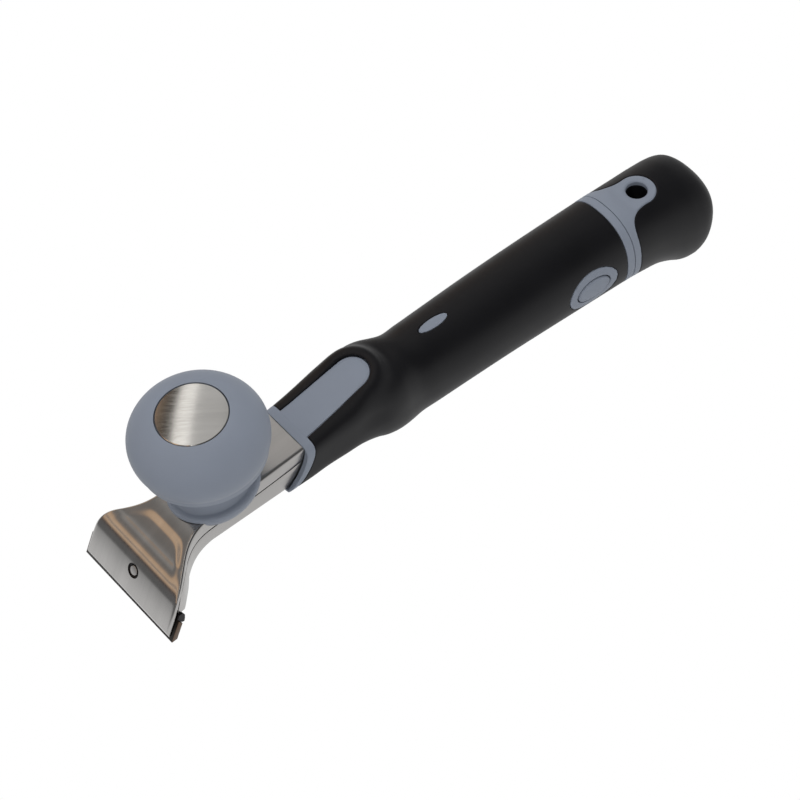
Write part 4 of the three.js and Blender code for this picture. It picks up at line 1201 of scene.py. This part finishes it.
class MakeButtons(bpy.types.Operator):
    """Mould the two oval release buttons"""
    bl_idname = "scraper.buttons"
    bl_label = "Release buttons"

    def execute(self, context):
        stations = dense_stations(GRIP_STATIONS, HANDLE_START, HANDLE_SEAM)
        (proud,), radius, steps = sizes("handle", "button_proud"), 0.7, 96
        # Each ring of a button as (inset, depth under its face, or half-width of a flat ring)
        rows = [(inset, 0, None) for inset in (4.3, 3.8, 3, 2, 1.2)]
        rows += [(radius * across, radius * down, None) for across, down in QUARTER]
        rows += [(0, 0, FLANGE_REST + 1), (-FLANGE_GROW - 0.2, 0, FLANGE_REST + 1),
                 (-FLANGE_GROW - 0.3, 0, FLANGE_REST + 0.9), (-FLANGE_GROW - 0.3, 0, FLANGE_REST)]
        for name, side in (("left", -1), ("right", 1)):
            rings = []
            for inset, drop, flat in rows:
                x, z = ellipse_line(BUTTON_PLACE, AXIS, *(size - 0.6 - 2 * inset for size in BUTTON_SIZE), steps).T
                y = side_face(stations, x, z, proud) - drop if flat is None else np.full(steps, float(flat))
                rings.append(np.column_stack([x, side * y, z]))
            piece = add_piece(f"button_{name}_moulding", *loft(rings))
            finish(piece, finish_for("Grey moulding"), f"button_{name}",
                   (f"release_button_{name}",), angle=50)
        return {"FINISHED"}


class MakeCap(bpy.types.Operator):
    """Mould the end cap: soft pommel, grey ring and tongue, and the lined hanging hole"""
    bl_idname = "scraper.cap"
    bl_label = "End cap"

    def execute(self, context):
        grey, black = finish_for("Grey moulding"), finish_for("Black soft skin")
        gap, rounding, veneer = sizes("handle", "gap", "rounding", "veneer")
        data, faces = body_data(dense_stations(CAP_STATIONS, CAP_START, HANDLE_END, blunt=True), pole=True)
        x, height = data[:, 0], data[:, 2]
        window, hole = cap_windows(data[:, :3])
        skin = clad("cap_skin", data, faces, window - gap, rounding, np.zeros(len(data)), CAP_SKIN)
        finish(skin, black, "cap", ("cap_grip",), angle=60)
        limit = np.interp(x, (CAP_START, CAP_START + CAP_RING, HOLE_PLACE - EYELET_RADIUS, HANDLE_END),
                          (60, AXIS + HANDLE_HEIGHT / 2, EYELET_TOP, EYELET_TOP))
        over = np.where(height > AXIS, np.maximum(height - limit, 0), 0)
        field = np.minimum.reduce([-window - gap, hole - HOLE_RADIUS - 1.0, x - CAP_START + 0.02])
        windows = clad("cap_grey_faces", data, faces, field, FACE_ROUNDING, over - 0.04, veneer)
        finish(windows, grey, "cap", angle=60)
        wall, top = HOLE_RADIUS - 0.05, EYELET_TOP + 0.05
        lining = [(wall + 0.5, 8), (wall, 7.4), (wall, top - 2), (wall + 0.5, top - 2)]
        rim = [(wall + 0.7, top - 2), (wall, top - 2), *bezier([(wall, top - 0.9), (wall, top), (wall + 1.2, top)], 10),
               (wall + 1.4, top - 0.3)]
        for name, outline, tone, slot in (("hole_lining", lining, black, "black_soft"),
                                          ("hole_rim", rim, grey, "grey_plastic")):
            finish(turn(name, [*outline, outline[0]], tone, HOLE_AXIS, 72), tone, "cap")
        dress("cap_core", grey)
        return {"FINISHED"}


class MakeMagazine(bpy.types.Operator):
    """Dress the spare blade tray and the latch arms behind it"""
    bl_idname = "scraper.magazine"
    bl_label = "Magazine"

    def execute(self, context):
        for node in ("magazine_tray", "latch_arm_left", "latch_arm_right"):
            dress(node, finish_for("Black moulding"), 0.25)
        return {"FINISHED"}


def floor_material():
    """White to the camera and pale to the light, with a darker part ahead of the blade in reflections."""
    material = bpy.data.materials.new("Pale floor")
    tree = blank_tree(material)
    rays = node_in(tree, "ShaderNodeLightPath").outputs
    x = node_in(tree, "ShaderNodeSeparateXYZ", {"Vector": object_place(tree)}).outputs["X"]
    ahead = ranged(tree, x, *FLOOR_FADE, interpolation_type="SMOOTHSTEP")
    tone = maths(tree, "MAXIMUM", ahead, rays["Is Camera Ray"])
    pale = node_in(tree, "ShaderNodeBsdfDiffuse", {"Color": (0.9, 0.9, 0.9, 1)})
    white = node_in(tree, "ShaderNodeEmission", {"Color": WHITE, "Strength": tone})
    seen = maths(tree, "ADD", rays["Is Camera Ray"], rays["Is Glossy Ray"], use_clamp=True)
    mixed = node_in(tree, "ShaderNodeMixShader", {"Fac": seen, 1: pale, 2: white})
    node_in(tree, "ShaderNodeOutputMaterial", {"Surface": mixed}, is_active_output=True)
    return material


def studio_world(strength):
    """White to the camera, bands to the polished pieces, and an even light to the rest."""
    world = bpy.data.worlds.new("Studio")
    tree = blank_tree(world)
    rays = node_in(tree, "ShaderNodeLightPath").outputs
    where = node_in(tree, "ShaderNodeTexCoord").outputs["Generated"]
    up = node_in(tree, "ShaderNodeSeparateXYZ", {"Vector": where}).outputs["Z"]
    across = node_in(tree, "ShaderNodeVectorMath", {0: where, 1: SKY_ACROSS}, operation="DOT_PRODUCT").outputs["Value"]
    share = maths(tree, "DIVIDE", maths(tree, "ARCTAN2", up, across), pi)
    bands = node_in(tree, "ShaderNodeValToRGB", {"Fac": share})
    ramp = bands.color_ramp
    for _ in SKY_BANDS[2:]:
        ramp.elements.new(1.0)
    for element, (place, tone) in zip(ramp.elements, SKY_BANDS):
        element.position, element.color = place, (*(part / SKY_PEAK for part in tone), 1)
    glossy, plain, white = (
        node_in(tree, "ShaderNodeBackground", {"Color": tone, "Strength": power})
        for tone, power in ((bands, SKY_PEAK), (WHITE, strength), (WHITE, 1.0)))
    reflect = node_in(tree, "ShaderNodeMixShader", {"Fac": rays["Is Glossy Ray"], 1: plain, 2: glossy})
    seen = node_in(tree, "ShaderNodeMixShader", {"Fac": rays["Is Camera Ray"], 1: reflect, 2: white})
    node_in(tree, "ShaderNodeOutputWorld", {"Surface": seen})
    return world


class MakeStage(bpy.types.Operator):
    """Set up the pale floor, the soft lamps and the camera"""
    bl_idname = "scraper.stage"
    bl_label = "Stage"

    def execute(self, context):
        scene, studio = context.scene, settings("studio")
        scene.view_settings.view_transform = "Standard"
        corners = [(x * FLOOR_HALF, y * FLOOR_HALF, -FLOOR_DROP) for x, y in ((-1, -1), (1, -1), (1, 1), (-1, 1))]
        floor = add_piece("floor", corners, [(0, 1, 2, 3)], place=Matrix.Identity(4))
        floor.data.materials.append(floor_material())
        scene.world = studio_world(studio.sky)
        for name, energy, size, place, tone in (
                ("key_lamp", studio.key, 0.9, (-0.25, 0.15, 1.0), (1, 1, 1)),
                ("side_lamp", studio.fill, 0.6, (-0.3, -0.9, 0.55), (1, 0.99, 0.97)),
                ("rear_lamp", studio.fill, 0.6, (0.7, 0.5, 0.6), (1, 1, 1))):
            light = bpy.data.lights.new(name, "AREA")
            light.energy, light.size, light.color = energy, size, tone
            lamp = link_new(name, light)
            lamp.location = place
            lamp.rotation_euler = Vector(place).to_track_quat("Z", "Y").to_euler()
            lamp.visible_glossy = False
        camera = bpy.data.cameras.new("photo_camera")
        camera.lens, camera.sensor_width = LENS, 36
        scene.camera = link_new("photo_camera", camera)
        scene.camera.location = CAMERA_PLACE
        scene.camera.rotation_euler = [radians(angle) for angle in CAMERA_TURN]
        return {"FINISHED"}


OPERATORS = (MakeHeadShells, MakeBlade, MakeClampScrew, MakeKnob, MakeKnobFixing, MakeHandle, MakeButtons,
             MakeCap, MakeMagazine, MakeStage)


class ScraperPanel(bpy.types.Panel):
    """Sizes, colours and steps of the paint scraper"""
    bl_idname = "VIEW3D_PT_scraper"
    bl_label = "Paint scraper"
    bl_space_type = "VIEW_3D"
    bl_region_type = "UI"
    bl_category = "Scraper"

    def draw(self, context):
        for name, group in GROUPS.items():
            box = self.layout.box()
            box.label(text=name.capitalize())
            for field in group.__annotations__:
                box.prop(settings(name), field)
        for operator in OPERATORS:
            self.layout.operator(operator.bl_idname)


def register():
    for group in (*GROUPS.values(), *OPERATORS, ScraperPanel):
        bpy.utils.register_class(group)
    for name, group in GROUPS.items():
        setattr(bpy.types.Scene, f"scraper_{name}", bpy.props.PointerProperty(type=group))


def unregister():
    for name in GROUPS:
        delattr(bpy.types.Scene, f"scraper_{name}")
    for group in reversed((*GROUPS.values(), *OPERATORS, ScraperPanel)):
        bpy.utils.unregister_class(group)


def main():
    register()
    for operator in OPERATORS:
        group, action = operator.bl_idname.split(".")
        getattr(getattr(bpy.ops, group), action)()


if __name__ == "__main__":
    main()
